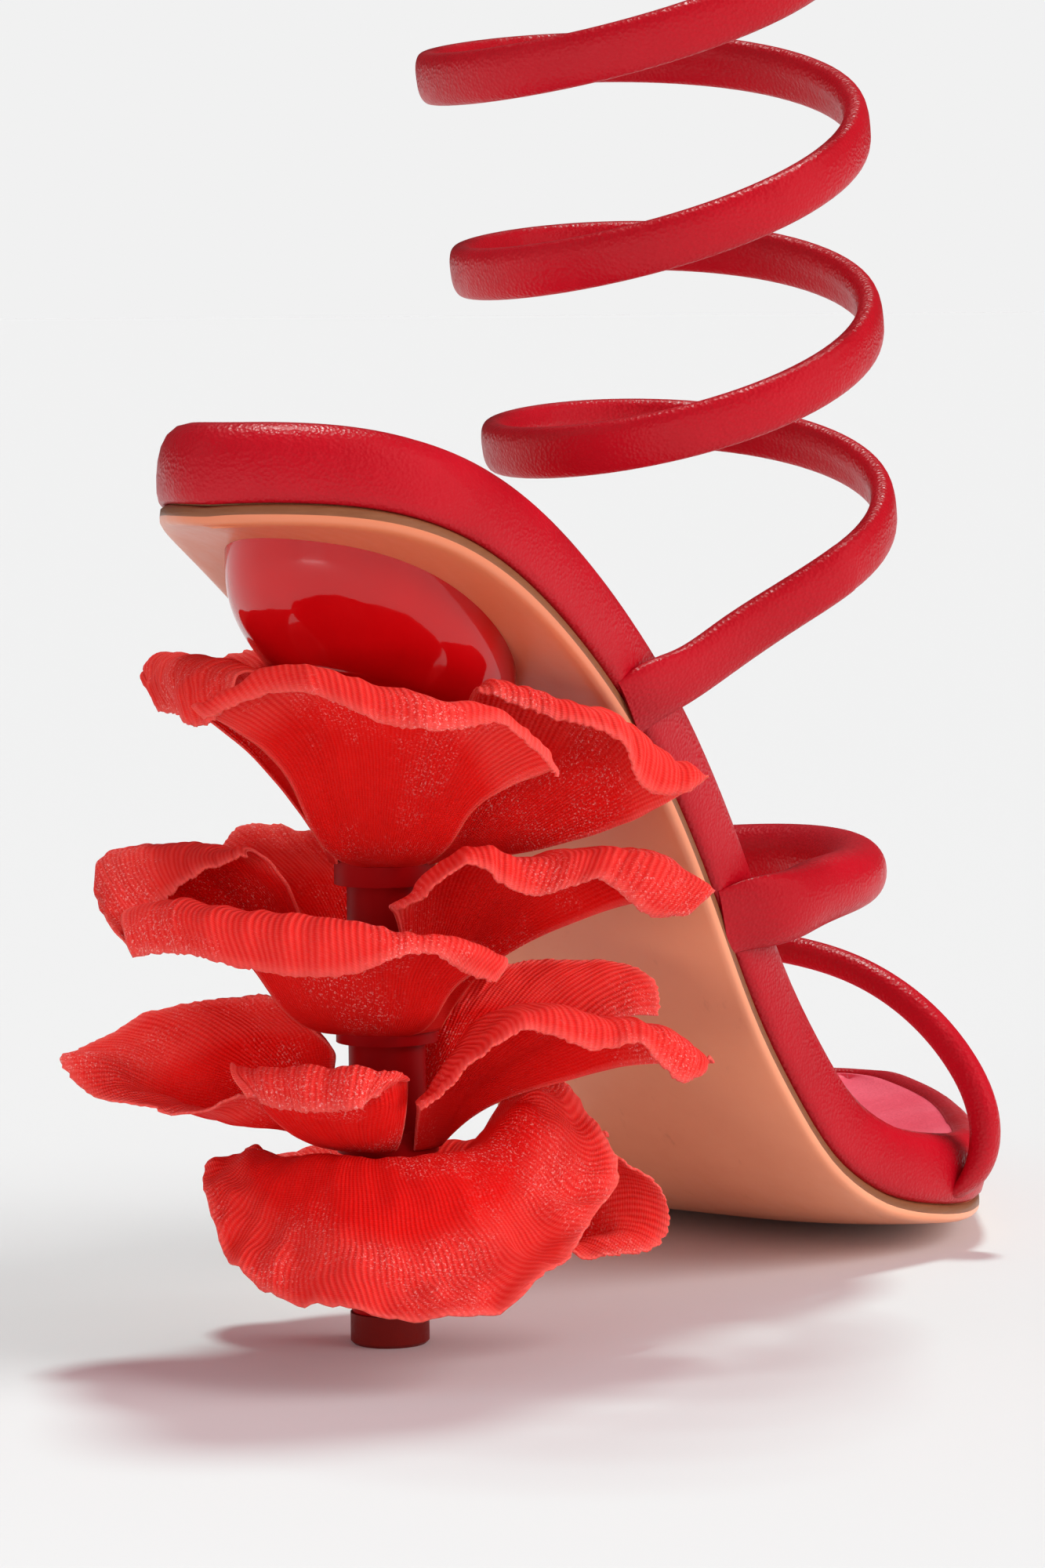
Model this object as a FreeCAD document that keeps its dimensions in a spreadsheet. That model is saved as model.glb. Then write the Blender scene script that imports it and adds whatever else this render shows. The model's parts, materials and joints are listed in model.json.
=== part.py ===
import FreeCAD, Part
import math
import os
import Sketcher

Vector = FreeCAD.Vector
Rotation = FreeCAD.Rotation
Placement = FreeCAD.Placement
UP = Vector(0, 0, 1)

# ------------------------------------------------------------------ driving dimensions (mm)

DIMENSIONS = [
    ("seat_height", 106.4, "footbed underside above the floor at the heel seat"),
    ("outsole_thickness", 2.5, "leather outsole, and the footbed's height at the tread"),
    ("board_thickness", 2.2, "insole board"),
    ("foam_thickness", 6.6, "footbed cushion"),
    ("sock_thickness", 0.8, "sock lining"),
    ("rim_skin", 1.2, "leather wrapped round the footbed's edge"),
    ("outsole_setback", 0.3, "outsole edge inside the rim"),
    ("glue_line", 0.02, "gap between glued layers and fitted metal"),
    ("shank_thickness", 1.4, "steel shank"),
    ("shank_width", 11.0, "steel shank"),
    ("rivet_radius", 1.5, "shank rivets"),
    ("rivet_sink", 0.1, "rivet ends below the board's faces"),
    ("toe_spring_radius", 130.0, "upward curve of the toe"),
    ("block_width", 140.0, "width of the trimming tools"),
    ("block_height", 150.0, "height of the trimming tools"),
    ("stem_top_radius", 4.7, "heel stem under the cup"),
    ("stem_foot_radius", 4.4, "heel stem at the top lift"),
    ("lift_radius", 5.0, "top lift"),
    ("lift_height", 4.0, "top lift"),
    ("lift_edge", 0.4, "chamfer of the top lift"),
    ("dowel_radius", 2.1, "steel tube inside the heel"),
    ("dowel_top", 74.0, "upper end of the steel tube"),
    ("pin_radius", 1.1, "top lift pin"),
    ("pin_top", 16.0, "upper end of the top lift pin"),
    ("pin_foot", 1.5, "lower end of the top lift pin"),
    ("screw_radius", 1.75, "heel screw"),
    ("screw_head_radius", 3.4, "heel screw head"),
    ("screw_length", 14.0, "heel screw under its head"),
    ("screw_countersink", 1.6, "height of the screw's conical head"),
    ("screw_sink", 0.2, "screw head below the board's face"),
    ("nail_radius", 0.8, "heel nails"),
    ("nail_length", 12.0, "heel nails"),
    ("nail_sink", 1.2, "nail heads below the board's face"),
    ("collar_radius", 6.4, "petal collars"),
    ("collar_height", 3.0, "petal collars"),
    ("petal_root_gap", 0.5, "petal roots off their collar"),
    ("petal_thickness", 0.8, "fabric petals with their stiffener"),
    ("coil_radius", 24.4, "strap centre line at the start of the ankle coil"),
    ("coil_growth", 1.0, "gain in coil radius per turn"),
    ("coil_pitch", 25.5, "rise per turn along the coil's axis"),
    ("coil_lean", 15.3, "coil axis leans back by this angle"),
    ("coil_tilt", 2.1, "coil axis leans to the outer side by this angle"),
    ("coil_start_angle", 262.0, "where the first turn begins, from the toe side"),
    ("joint_gap", 0.3, "gap between neighbouring strap segments"),
    ("lead_gap", 1.6, "gap between the strap's lead-in and the first half turn"),
    ("strap_width", 6.6, "ankle strap"),
    ("strap_thickness", 3.4, "ankle strap"),
    ("tip_length", 4.0, "rounded end of the ankle strap"),
    ("wire_radius", 0.8, "memory wire in the ankle strap"),
    ("fit_gap", 0.03, "clearance of a core in its strap"),
    ("toe_strap_radius", 2.9, "tubular toe strap"),
    ("toe_cord_radius", 1.3, "filler cord of the toe strap"),
    ("instep_width", 8.6, "instep strap"),
    ("instep_thickness", 5.2, "instep strap"),
    ("instep_cord_radius", 1.5, "filler cord of the instep strap"),
    ("instep_leg", 26.7, "instep strap's legs from the middle of the shoe"),
]

# Height of the footbed's underside along the shoe, as a share of the seat height above the tread.
SIDE_STATIONS = [(-46, 1.007), (-27, 1.0), (-15, 0.965), (6, 0.848), (25.5, 0.697), (41, 0.515),
                 (54, 0.313), (61, 0.222), (69, 0.132), (79, 0.0645), (90.5, 0.026), (104, 0.0067), (118, 0.0)]
TREAD_END = 134.0
TOE_LIMIT = 172.0

# Plan of the footbed, once round from the back of the heel along the outer side.
PLAN_POINTS = [(-38, 0), (-32, -13), (-20, -21.5), (-4, -24.8), (16, -24.2), (38, -22.6), (60, -23.4),
               (80, -26.8), (99, -28.4), (116, -21.6), (131, -10.8), (146, 2), (158, 14.5), (165, 27),
               (161, 38), (147, 45.5), (127, 46.5), (107, 43), (86, 36), (64, 27), (38, 22.4), (16, 23.2),
               (-4, 22.4), (-19, 18.6), (-31, 11)]

# Heel cup sections from top to bottom: height, centre along the shoe, half length, half width.
CUP_SECTIONS = [(114, -5, 27, 17), (100, -4, 23, 15.5), (93, 0, 20, 14.5), (87, 4, 17, 13.2),
                (80, 7, 12.5, 10.5), (72, 4, 8, 7.5), (66, 1, 5.4, 5.3), (62, 0, 4.7, 4.7)]
STEM_TOP = 62.0

SCREW_STATION = 0.0
NAIL_POSITIONS = [(-14, -7), (-14, 7), (6, -7.5), (6, 7.5)]
SHANK_STATIONS = (8.0, 84.0)
SHANK_LIFT = 0.06
RIVET_STATIONS = (22.0, 74.0)

# Petal tiers from the top: collar height, then petals as (name, direction, spread, belly, lip).
# Belly and lip are (distance from the stem's axis, height above the collar's middle).
PETAL_TIERS = [
    (60.0, [("front", -145, 82, (18, 4.5), (31, 23.5)),
            ("left", 128, 78, (18, 4.5), (31, 22)),
            ("right", -78, 44, (20, 3.5), (42, 10)),
            ("inner", 70, 32, (16, 4), (27, 17))]),
    (40.0, [("front", -142, 94, (17, 2), (30, 10)),
            ("left", 125, 82, (18, 4), (34, 19)),
            ("right", -60, 58, (20, 5), (38, 16)),
            ("inner", 27, 96, (15, 3), (28, 14))]),
    (26.0, [("front", -148, 68, (14, 1), (24, 9.5)),
            ("left", 128, 88, (20, 3.5), (42, 12)),
            ("right", -66, 84, (20, 3.5), (42, 13)),
            ("inner", 28, 94, (18, 4), (35, 17))]),
    (18.0, [("front", -140, 118, (18, 3.5), (31, -11)),
            ("left", 120, 68, (16, 4), (28, 0)),
            ("right", -52, 48, (20, 3.5), (37, -5)),
            ("inner", 25, 94, (15, 2.5), (26, 1))]),
]

COIL_ORIGIN = Vector(56.6, -13.7, 80.7)
HALF_TURNS = 8

TOE_STRAP_ROUTE = [(95, -32, 3.5), (96.5, -33, 15), (97, -30, 27.5), (97, -18.5, 37.5), (97, 0, 42.5),
                   (96.5, 19, 42), (96, 35, 34), (96.5, 44.6, 20), (97, 45, 3.5)]
INSTEP_HEIGHT = 53.0
INSTEP_START = 42.0
INSTEP_CENTRE = 67.0
LEAD_START = Vector(19.0, -27.0, 79.6)
LEAD_SLOPE = 27.0


# ------------------------------------------------------------------ document and helpers

os.makedirs("parts", exist_ok=True)
doc = FreeCAD.newDocument("heeled_sandal")
sheet = doc.addObject("Spreadsheet::Sheet", "Dims")
for row, (alias, value, note) in enumerate(DIMENSIONS, start=1):
    sheet.set("A%d" % row, note)
    sheet.set("B%d" % row, str(value))
    sheet.setAlias("B%d" % row, alias)
doc.recompute()

NODES = []


def dim(alias):
    """The value of a driving dimension."""
    return float(sheet.get(alias))


def bind(item, prop, expression):
    item.setExpression(prop, expression)


def finished(item, label):
    """Name an object as a sub-part that gets its own file."""
    item.Label = label
    NODES.append(item)
    return item


def new_body(label):
    return finished(doc.addObject("PartDesign::Body", label + "_body"), label)


def origin_item(body, role):
    return next(item for item in body.Origin.OriginFeatures if item.Role == role)


def new_sketch(body, role, geometry, offset=Placement()):
    """A sketch of closed curves on one of the body's own planes."""
    sketch = body.newObject("Sketcher::SketchObject", body.Name + "_sketch")
    sketch.AttachmentSupport = (origin_item(body, role), "")
    sketch.MapMode = "FlatFace"
    sketch.AttachmentOffset = offset
    for curve in geometry:
        sketch.addGeometry(curve, False)
    return sketch


def feature(body, kind, profile):
    made = body.newObject("PartDesign::" + kind, body.Name + "_" + kind.lower())
    made.Profile = profile
    return made


def circle(radius, x=0.0, y=0.0):
    return Part.Circle(Vector(x, y, 0), UP, radius)


def polygon(points):
    corners = [Vector(x, y, 0) for x, y in points]
    return [Part.LineSegment(a, b) for a, b in zip(corners, corners[1:] + corners[:1])]


def along(direction):
    """A rotation that turns +Z to a direction."""
    return Rotation(UP, direction)


# ------------------------------------------------------------------ footbed curves

def side_base():
    """Underside of the footbed in side view, from behind the heel to the tread."""
    tread = dim("outsole_thickness")
    rise = dim("seat_height") - tread
    points = [Vector(x, tread + rise * share, 0) for x, share in SIDE_STATIONS]
    curve = Part.BSplineCurve()
    curve.interpolate(Points=points)
    return curve


SIDE_SAMPLES = 26
SIDE_CURVE = side_base()


def side_frame(parameter):
    """Point and upward normal of the underside."""
    tangent = Vector(*SIDE_CURVE.tangent(parameter)[0])
    return SIDE_CURVE.value(parameter), Vector(-tangent.y, tangent.x, 0)


def side_offset(offset):
    """The underside moved out by an offset: a spline, the flat tread and the toe's arc."""
    first, last = SIDE_CURVE.FirstParameter, SIDE_CURVE.LastParameter
    points = []
    for step in range(SIDE_SAMPLES + 1):
        point, normal = side_frame(first + (last - first) * step / SIDE_SAMPLES)
        points.append(point + normal * offset)
    spline = Part.BSplineCurve()
    spline.interpolate(Points=points)
    level = dim("outsole_thickness") + offset
    tread = Part.LineSegment(points[-1], Vector(TREAD_END, level, 0))
    radius = dim("toe_spring_radius")
    centre = Vector(TREAD_END, dim("outsole_thickness") + radius, 0)
    sweep = math.asin((TOE_LIMIT - TREAD_END) / radius)
    toe_points = []
    for share in (0.0, 0.5, 1.0):
        angle = sweep * share
        toe_points.append(centre + Vector(math.sin(angle), -math.cos(angle), 0) * (radius - offset))
    toe_points[0] = Vector(TREAD_END, level, 0)
    toe = Part.Arc(*toe_points)
    return [spline, tread, toe], points[0], toe_points[-1]


def band(low, high):
    """Closed side view of a layer between two offsets from the footbed's underside."""
    low_curves, low_start, low_end = side_offset(low)
    high_curves, high_start, high_end = side_offset(high)
    caps = [Part.LineSegment(low_end, high_end), Part.LineSegment(high_start, low_start)]
    return low_curves + high_curves + caps


def above(low):
    """Closed side view of everything over an offset from the footbed's underside."""
    curves, start, end = side_offset(low)
    roof = dim("block_height")
    corners = [end, Vector(end.x, roof, 0), Vector(start.x, roof, 0), start]
    return curves + [Part.LineSegment(a, b) for a, b in zip(corners, corners[1:])]


def seat_at(station):
    """Point on the footbed's underside at a distance along the shoe, and the normal there."""
    low, high = SIDE_CURVE.FirstParameter, SIDE_CURVE.LastParameter
    for _ in range(40):
        middle = (low + high) / 2
        if SIDE_CURVE.value(middle).x < station:
            low = middle
        else:
            high = middle
    point, normal = side_frame(low)
    return Vector(point.x, 0, point.y), Vector(normal.x, 0, normal.y)


def plan_base():
    curve = Part.BSplineCurve()
    curve.interpolate(Points=[Vector(x, y, 0) for x, y in PLAN_POINTS], PeriodicFlag=True)
    return curve


PLAN_CURVE = plan_base()
PLAN_SAMPLES = 48


def outline(inset):
    """Plan of the footbed moved inwards."""
    if inset == 0:
        return PLAN_CURVE.copy()
    first, last = PLAN_CURVE.FirstParameter, PLAN_CURVE.LastParameter
    points = []
    for step in range(PLAN_SAMPLES):
        parameter = first + (last - first) * step / PLAN_SAMPLES
        tangent = Vector(*PLAN_CURVE.tangent(parameter)[0])
        points.append(PLAN_CURVE.value(parameter) + Vector(-tangent.y, tangent.x, 0) * inset)
    curve = Part.BSplineCurve()
    curve.interpolate(Points=points, PeriodicFlag=True)
    return curve


def tool_frame():
    """Rectangle round the whole side view."""
    return polygon([(-80, -30), (210, -30), (210, 175), (-80, 175)])


def layer(label, low, high, plans):
    """One layer of the footbed: its plan raised to a block, then cut to a band in side view."""
    body = new_body(label)
    floor = Placement(Vector(0, 0, -10), Rotation())
    block = feature(body, "Pad", new_sketch(body, "XY_Plane", plans, floor))
    bind(block, "Length", "Dims.block_height")
    cut = feature(body, "Pocket", new_sketch(body, "XZ_Plane", tool_frame() + band(low, high)))
    cut.Midplane = True
    bind(cut, "Length", "Dims.block_width")
    return body


def drill(body, mouth, direction, radius_expression, depth):
    """A round hole from a mouth point along a direction."""
    place = Placement(mouth, along(direction * -1))
    sketch = new_sketch(body, "XY_Plane", [circle(1.0)], place)
    sketch.addConstraint(Sketcher.Constraint("Radius", 0, 1.0))
    bind(sketch, "Constraints[0]", radius_expression)
    hole = feature(body, "Pocket", sketch)
    hole.Length = depth
    return hole


# ------------------------------------------------------------------ footbed and sole

board_top = dim("board_thickness")
foam_top = board_top + dim("foam_thickness")
sock_top = foam_top + dim("sock_thickness")
skin = dim("rim_skin")

outsole = layer("outsole", -dim("outsole_thickness"), -dim("glue_line"), [outline(dim("outsole_setback"))])
board = layer("insole_board", 0.0, board_top, [outline(skin)])
foam = layer("footbed_foam", board_top, foam_top, [outline(skin)])
sock = layer("sock_lining", foam_top, sock_top, [outline(skin)])
rim = layer("footbed_rim", 0.0, sock_top, [outline(0), outline(skin)])


def shank_band():
    """Side view of the shank under the insole board."""
    points_low, points_high = [], []
    first, last = SHANK_STATIONS
    count = 16
    for step in range(count + 1):
        point, normal = seat_at(first + (last - first) * step / count)
        low = point + normal * SHANK_LIFT
        high = low + normal * dim("shank_thickness")
        points_low.append(Vector(low.x, low.z, 0))
        points_high.append(Vector(high.x, high.z, 0))
    curves = []
    for points in (points_low, points_high):
        curve = Part.BSplineCurve()
        curve.interpolate(Points=points)
        curves.append(curve)
    caps = [Part.LineSegment(points_low[0], points_high[0]), Part.LineSegment(points_low[-1], points_high[-1])]
    return curves + caps


channel = feature(board, "Pocket", new_sketch(board, "XZ_Plane", shank_band()))
channel.Midplane = True
bind(channel, "Length", "Dims.shank_width")

shank = new_body("steel_shank")
strip = feature(shank, "Pad", new_sketch(shank, "XZ_Plane", shank_band()))
strip.Midplane = True
bind(strip, "Length", "Dims.shank_width")

RIVET_REACH = 6.0
rivets = []
for station in RIVET_STATIONS:
    point, normal = seat_at(station)
    for body in (board, shank):
        drill(body, point + normal * RIVET_REACH, normal * -1, "Dims.rivet_radius", 2 * RIVET_REACH)
    rivet = doc.addObject("Part::Cylinder", "rivet")
    bind(rivet, "Radius", "Dims.rivet_radius")
    bind(rivet, "Height", "Dims.board_thickness - 2 * Dims.rivet_sink")
    rivet.Placement = Placement(point + normal * dim("rivet_sink"), along(normal))
    rivets.append(rivet)
rivet_group = doc.addObject("Part::Compound", "rivet_group")
rivet_group.Links = rivets
finished(rivet_group, "shank_rivets")


# ------------------------------------------------------------------ heel

heel = new_body("heel_shell")
sections = []
for height, centre, half_length, half_width in CUP_SECTIONS:
    if half_length == half_width:
        shape = circle(half_width, centre)
    else:
        shape = Part.Ellipse(Vector(centre, 0, 0), half_length, half_width)
    sections.append(new_sketch(heel, "XY_Plane", [shape], Placement(Vector(0, 0, height), Rotation())))
cup = feature(heel, "AdditiveLoft", sections[0])
cup.Sections = [(section, [""]) for section in sections[1:]]
stem_profile = polygon([(0, dim("lift_height")), (dim("stem_foot_radius"), dim("lift_height")),
                        (dim("stem_top_radius"), STEM_TOP), (0, STEM_TOP)])
stem_sketch = new_sketch(heel, "XZ_Plane", stem_profile)
stem = feature(heel, "Revolution", stem_sketch)
stem.ReferenceAxis = (stem_sketch, ["V_Axis"])
stem.Angle = 360
seat_cut = feature(heel, "Pocket", new_sketch(heel, "XZ_Plane", above(-dim("outsole_thickness"))))
seat_cut.Midplane = True
bind(seat_cut, "Length", "Dims.block_width")
drill(heel, Vector(0, 0, 0), UP, "Dims.dowel_radius", dim("dowel_top"))

dowel = new_body("heel_dowel")
tube = feature(dowel, "Pad", new_sketch(dowel, "XY_Plane", [circle(dim("dowel_radius")), circle(dim("pin_radius"))],
                                        Placement(Vector(0, 0, dim("lift_height")), Rotation())))
bind(tube, "Length", "Dims.dowel_top - Dims.lift_height")

lift = new_body("top_lift")
disc = feature(lift, "Pad", new_sketch(lift, "XY_Plane", [circle(dim("lift_radius"))]))
bind(disc, "Length", "Dims.lift_height")
doc.recompute()
foot_edges = ["Edge%d" % (i + 1) for i, edge in enumerate(disc.Shape.Edges)
              if edge.BoundBox.ZMax < 0.001 and edge.isClosed()]
bevel = lift.newObject("PartDesign::Chamfer", "lift_bevel")
bevel.Base = (disc, foot_edges)
bind(bevel, "Size", "Dims.lift_edge")
drill(lift, Vector(0, 0, dim("lift_height")), UP * -1, "Dims.pin_radius", dim("lift_height") - dim("pin_foot"))

pin = doc.addObject("Part::Cylinder", "pin")
bind(pin, "Radius", "Dims.pin_radius")
bind(pin, "Height", "Dims.pin_top - Dims.pin_foot")
pin.Placement = Placement(Vector(0, 0, dim("pin_foot")), Rotation())
finished(pin, "top_lift_pin")


def screw_profile():
    """Half section of a countersunk screw whose head top is at height 0."""
    radius, length = dim("screw_radius"), dim("screw_length")
    return polygon([(0, 0), (dim("screw_head_radius"), 0), (radius, -dim("screw_countersink")),
                    (radius, -length), (0, -length - radius)])


seat_point, seat_normal = seat_at(SCREW_STATION)
screw_head = seat_point + seat_normal * (board_top - dim("screw_sink"))
screw_place = Placement(screw_head, along(seat_normal))
screw = new_body("heel_screw")
screw_sketch = new_sketch(screw, "XZ_Plane", screw_profile())
turned = feature(screw, "Revolution", screw_sketch)
turned.ReferenceAxis = (screw_sketch, ["V_Axis"])
turned.Angle = 360
screw.Placement = screw_place

for body in (board, outsole, heel):
    bore_sketch = new_sketch(body, "XY_Plane", [], Placement(screw_head, along(seat_normal)
                                                            * Rotation(Vector(1, 0, 0), 90)))
    for edge in screw_profile():
        bore_sketch.addGeometry(edge, False)
    bore = feature(body, "Groove", bore_sketch)
    bore.ReferenceAxis = (bore_sketch, ["V_Axis"])
    bore.Angle = 360

nails = []
for x, y in NAIL_POSITIONS:
    seat, normal = seat_at(x)
    top = Vector(x, y, seat.z + board_top / normal.z - dim("nail_sink"))
    for body in (board, outsole, heel):
        drill(body, top, UP * -1, "Dims.nail_radius", dim("nail_length"))
    nail = doc.addObject("Part::Cylinder", "nail")
    bind(nail, "Radius", "Dims.nail_radius")
    bind(nail, "Height", "Dims.nail_length")
    nail.Placement = Placement(top - UP * dim("nail_length"), Rotation())
    nails.append(nail)
nail_group = doc.addObject("Part::Compound", "nail_group")
nail_group.Links = nails
finished(nail_group, "heel_nails")


# ------------------------------------------------------------------ petals

def stem_radius(height):
    share = (height - dim("lift_height")) / (STEM_TOP - dim("lift_height"))
    return dim("stem_foot_radius") + (dim("stem_top_radius") - dim("stem_foot_radius")) * share


def petal_section(root, belly, lip):
    """Cross-section of a petal: a smooth curve of constant thickness."""
    middle = Part.BSplineCurve()
    middle.interpolate(Points=[Vector(*root, 0), Vector(*belly, 0), Vector(*lip, 0)])
    half = dim("petal_thickness") / 2
    sides = ([], [])
    samples = 8
    for step in range(samples + 1):
        share = middle.FirstParameter + (middle.LastParameter - middle.FirstParameter) * step / samples
        tangent = Vector(*middle.tangent(share)[0])
        normal = Vector(-tangent.y, tangent.x, 0)
        sides[0].append(middle.value(share) - normal * half)
        sides[1].append(middle.value(share) + normal * half)
    curves = []
    for points in sides:
        curve = Part.BSplineCurve()
        curve.interpolate(Points=points)
        curves.append(curve)
    return curves + [Part.LineSegment(sides[0][0], sides[1][0]), Part.LineSegment(sides[0][-1], sides[1][-1])]


for tier, (collar_middle, petals) in enumerate(PETAL_TIERS, start=1):
    collar = new_body("petal_collar_%d" % tier)
    collar_foot = collar_middle - dim("collar_height") / 2
    bore_radius = stem_radius(collar_middle + dim("collar_height") / 2) + dim("glue_line")
    ring = feature(collar, "Pad", new_sketch(collar, "XY_Plane", [circle(dim("collar_radius")), circle(bore_radius)]))
    bind(ring, "Length", "Dims.collar_height")
    collar.Placement = Placement(Vector(0, 0, collar_foot), Rotation())
    for name, direction, spread, belly, lip in petals:
        petal = new_body("petal_%d_%s" % (tier, name))
        root = (dim("collar_radius") + dim("petal_root_gap"), 0.0)
        petal_sketch = new_sketch(petal, "XZ_Plane", petal_section(root, belly, lip))
        blade = feature(petal, "Revolution", petal_sketch)
        blade.ReferenceAxis = (petal_sketch, ["V_Axis"])
        blade.Angle = spread
        blade.Midplane = True
        petal.Placement = Placement(Vector(0, 0, collar_middle), Rotation(UP, direction))


# ------------------------------------------------------------------ ankle coil

coil_turn = Rotation(Vector(0, 1, 0), -dim("coil_lean")) * Rotation(Vector(1, 0, 0), dim("coil_tilt"))
coil_place = Placement(COIL_ORIGIN, coil_turn)
COIL_AXIS = coil_turn.multVec(UP)


def coil_radius_at(turns):
    """Coil radius after a number of turns from the start."""
    return dim("coil_radius") + dim("coil_growth") * turns


def coil_frame(turns):
    """Placement at the coil's centre after a number of turns: +X points out to the strap."""
    start = dim("coil_start_angle")
    rise = dim("coil_pitch") * (start / 360 + turns)
    local = Placement(Vector(0, 0, rise), Rotation(UP, start + 360 * turns))
    return coil_place.multiply(local)


def coil_point(turns):
    return coil_frame(turns).multVec(Vector(coil_radius_at(turns), 0, 0))


def coil_tangent(turns):
    step = 0.001
    ahead = coil_point(turns + step) - coil_point(turns)
    return ahead.normalize()


widening = math.degrees(math.atan(dim("coil_growth") / dim("coil_pitch")))
gap_share = dim("joint_gap") / (2 * math.pi * dim("coil_radius"))


def coil_piece(label, first_turn, profile):
    """Half a turn of the coil, swept along a widening helix."""
    body = new_body(label)
    radius = coil_radius_at(first_turn)
    sketch = new_sketch(body, "XZ_Plane", profile, Placement(Vector(radius, 0, 0), Rotation()))
    helix = feature(body, "AdditiveHelix", sketch)
    helix.Mode = "pitch-height-angle"
    helix.ReferenceAxis = (origin_item(body, "Z_Axis"), [""])
    bind(helix, "Pitch", "Dims.coil_pitch")
    bind(helix, "Height", "Dims.coil_pitch * %.6f" % (0.5 - gap_share))
    helix.Angle = widening
    body.Placement = coil_frame(first_turn)
    return body


strap_half_width = dim("strap_width") / 2
strap_half_depth = dim("strap_thickness") / 2
strap_oval = Part.Ellipse(Vector(0, strap_half_width, 0), Vector(strap_half_depth, 0, 0), Vector(0, 0, 0))
wire_bore = circle(dim("wire_radius") + dim("fit_gap"))
for half in range(HALF_TURNS):
    coil_piece("ankle_strap_%d" % (half + 1), half / 2, [strap_oval.copy(), wire_bore.copy()])
    coil_piece("memory_wire_%d" % (half + 1), half / 2, [circle(dim("wire_radius"))])

end_turns = HALF_TURNS / 2
tip_out = coil_frame(end_turns).Rotation.multVec(Vector(1, 0, 0))
tip_along = coil_tangent(end_turns)
tip_point = coil_point(end_turns) + tip_along * dim("joint_gap")
tip = doc.addObject("Part::Ellipsoid", "strap_tip")
bind(tip, "Radius1", "Dims.tip_length")
bind(tip, "Radius2", "Dims.strap_thickness / 2")
bind(tip, "Radius3", "Dims.strap_width / 2")
tip.Angle1 = 0
tip.Angle2 = 90
tip.Placement = Placement(tip_point, Rotation(tip_out, tip_along.cross(tip_out), tip_along, "ZXY"))
finished(tip, "ankle_strap_tip")


# ------------------------------------------------------------------ swept straps

ARC_SHARE = 0.45
LEAD_PULL = 0.36


def rounded_path(points):
    """Straight runs joined by tangent arcs, each as large as its two runs allow."""
    corners = [Vector(*point) for point in points]
    edges = []
    start = corners[0]
    for before, corner, after in zip(corners, corners[1:], corners[2:]):
        toward = (before - corner).normalize()
        onward = (after - corner).normalize()
        cut = ARC_SHARE * min((before - corner).Length, (after - corner).Length)
        half_turn = (math.pi - toward.getAngle(onward)) / 2
        radius = cut / math.tan(half_turn)
        bisector = (toward + onward).normalize()
        centre = corner + bisector * (radius / math.cos(half_turn))
        entry, leave = corner + toward * cut, corner + onward * cut
        edges.append(Part.LineSegment(start, entry).toShape())
        edges.append(Part.Arc(entry, centre - bisector * radius, leave).toShape())
        start = leave
    edges.append(Part.LineSegment(start, corners[-1]).toShape())
    return Part.Wire(edges)


def section_at(path, width_direction, half_width, half_depth):
    """An oval or round wire across the start of a path."""
    first = path.OrderedEdges[0]
    point = first.valueAt(first.FirstParameter)
    tangent = first.tangentAt(first.FirstParameter).normalize()
    depth_direction = width_direction.cross(tangent).normalize()
    wide = tangent.cross(depth_direction).normalize()
    if half_width == half_depth:
        curve = Part.Circle(point, tangent, half_width)
    else:
        curve = Part.Ellipse(point + wide * half_width, point + depth_direction * half_depth, point)
    return Part.Wire([curve.toShape()])


def sweep(path, width_direction, half_width, half_depth):
    """A solid of constant section along a path, its width kept to one direction."""
    maker = Part.BRepOffsetAPI.MakePipeShell(path)
    maker.setBiNormalMode(width_direction)
    maker.add(section_at(path, width_direction, half_width, half_depth), False, False)
    maker.build()
    maker.makeSolid()
    return maker.shape()


def cored_strap(label, core_label, path, width_direction, half_width, half_depth, core_radius):
    """A strap cover and the core that fills it."""
    bore = sweep(path, width_direction, core_radius + dim("fit_gap"), core_radius + dim("fit_gap"))
    cover = doc.addObject("Part::Feature", label)
    cover.Shape = sweep(path, width_direction, half_width, half_depth).cut(bore)
    finished(cover, label)
    core = doc.addObject("Part::Feature", core_label)
    core.Shape = sweep(path, width_direction, core_radius, core_radius)
    finished(core, core_label)


toe_path = rounded_path(TOE_STRAP_ROUTE)
cored_strap("toe_strap", "toe_strap_cord", toe_path, Vector(1, 0, 0),
            dim("toe_strap_radius"), dim("toe_strap_radius"), dim("toe_cord_radius"))

leg = dim("instep_leg")
instep_edges = [
    Part.LineSegment(Vector(INSTEP_START, -leg, INSTEP_HEIGHT), Vector(INSTEP_CENTRE, -leg, INSTEP_HEIGHT)),
    Part.Arc(Vector(INSTEP_CENTRE, -leg, INSTEP_HEIGHT), Vector(INSTEP_CENTRE + leg, 0, INSTEP_HEIGHT),
             Vector(INSTEP_CENTRE, leg, INSTEP_HEIGHT)),
    Part.LineSegment(Vector(INSTEP_CENTRE, leg, INSTEP_HEIGHT), Vector(INSTEP_START, leg, INSTEP_HEIGHT)),
]
instep_path = Part.Wire([edge.toShape() for edge in instep_edges])
cored_strap("instep_strap", "instep_strap_cord", instep_path, UP,
            dim("instep_width") / 2, dim("instep_thickness") / 2, dim("instep_cord_radius"))

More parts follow.
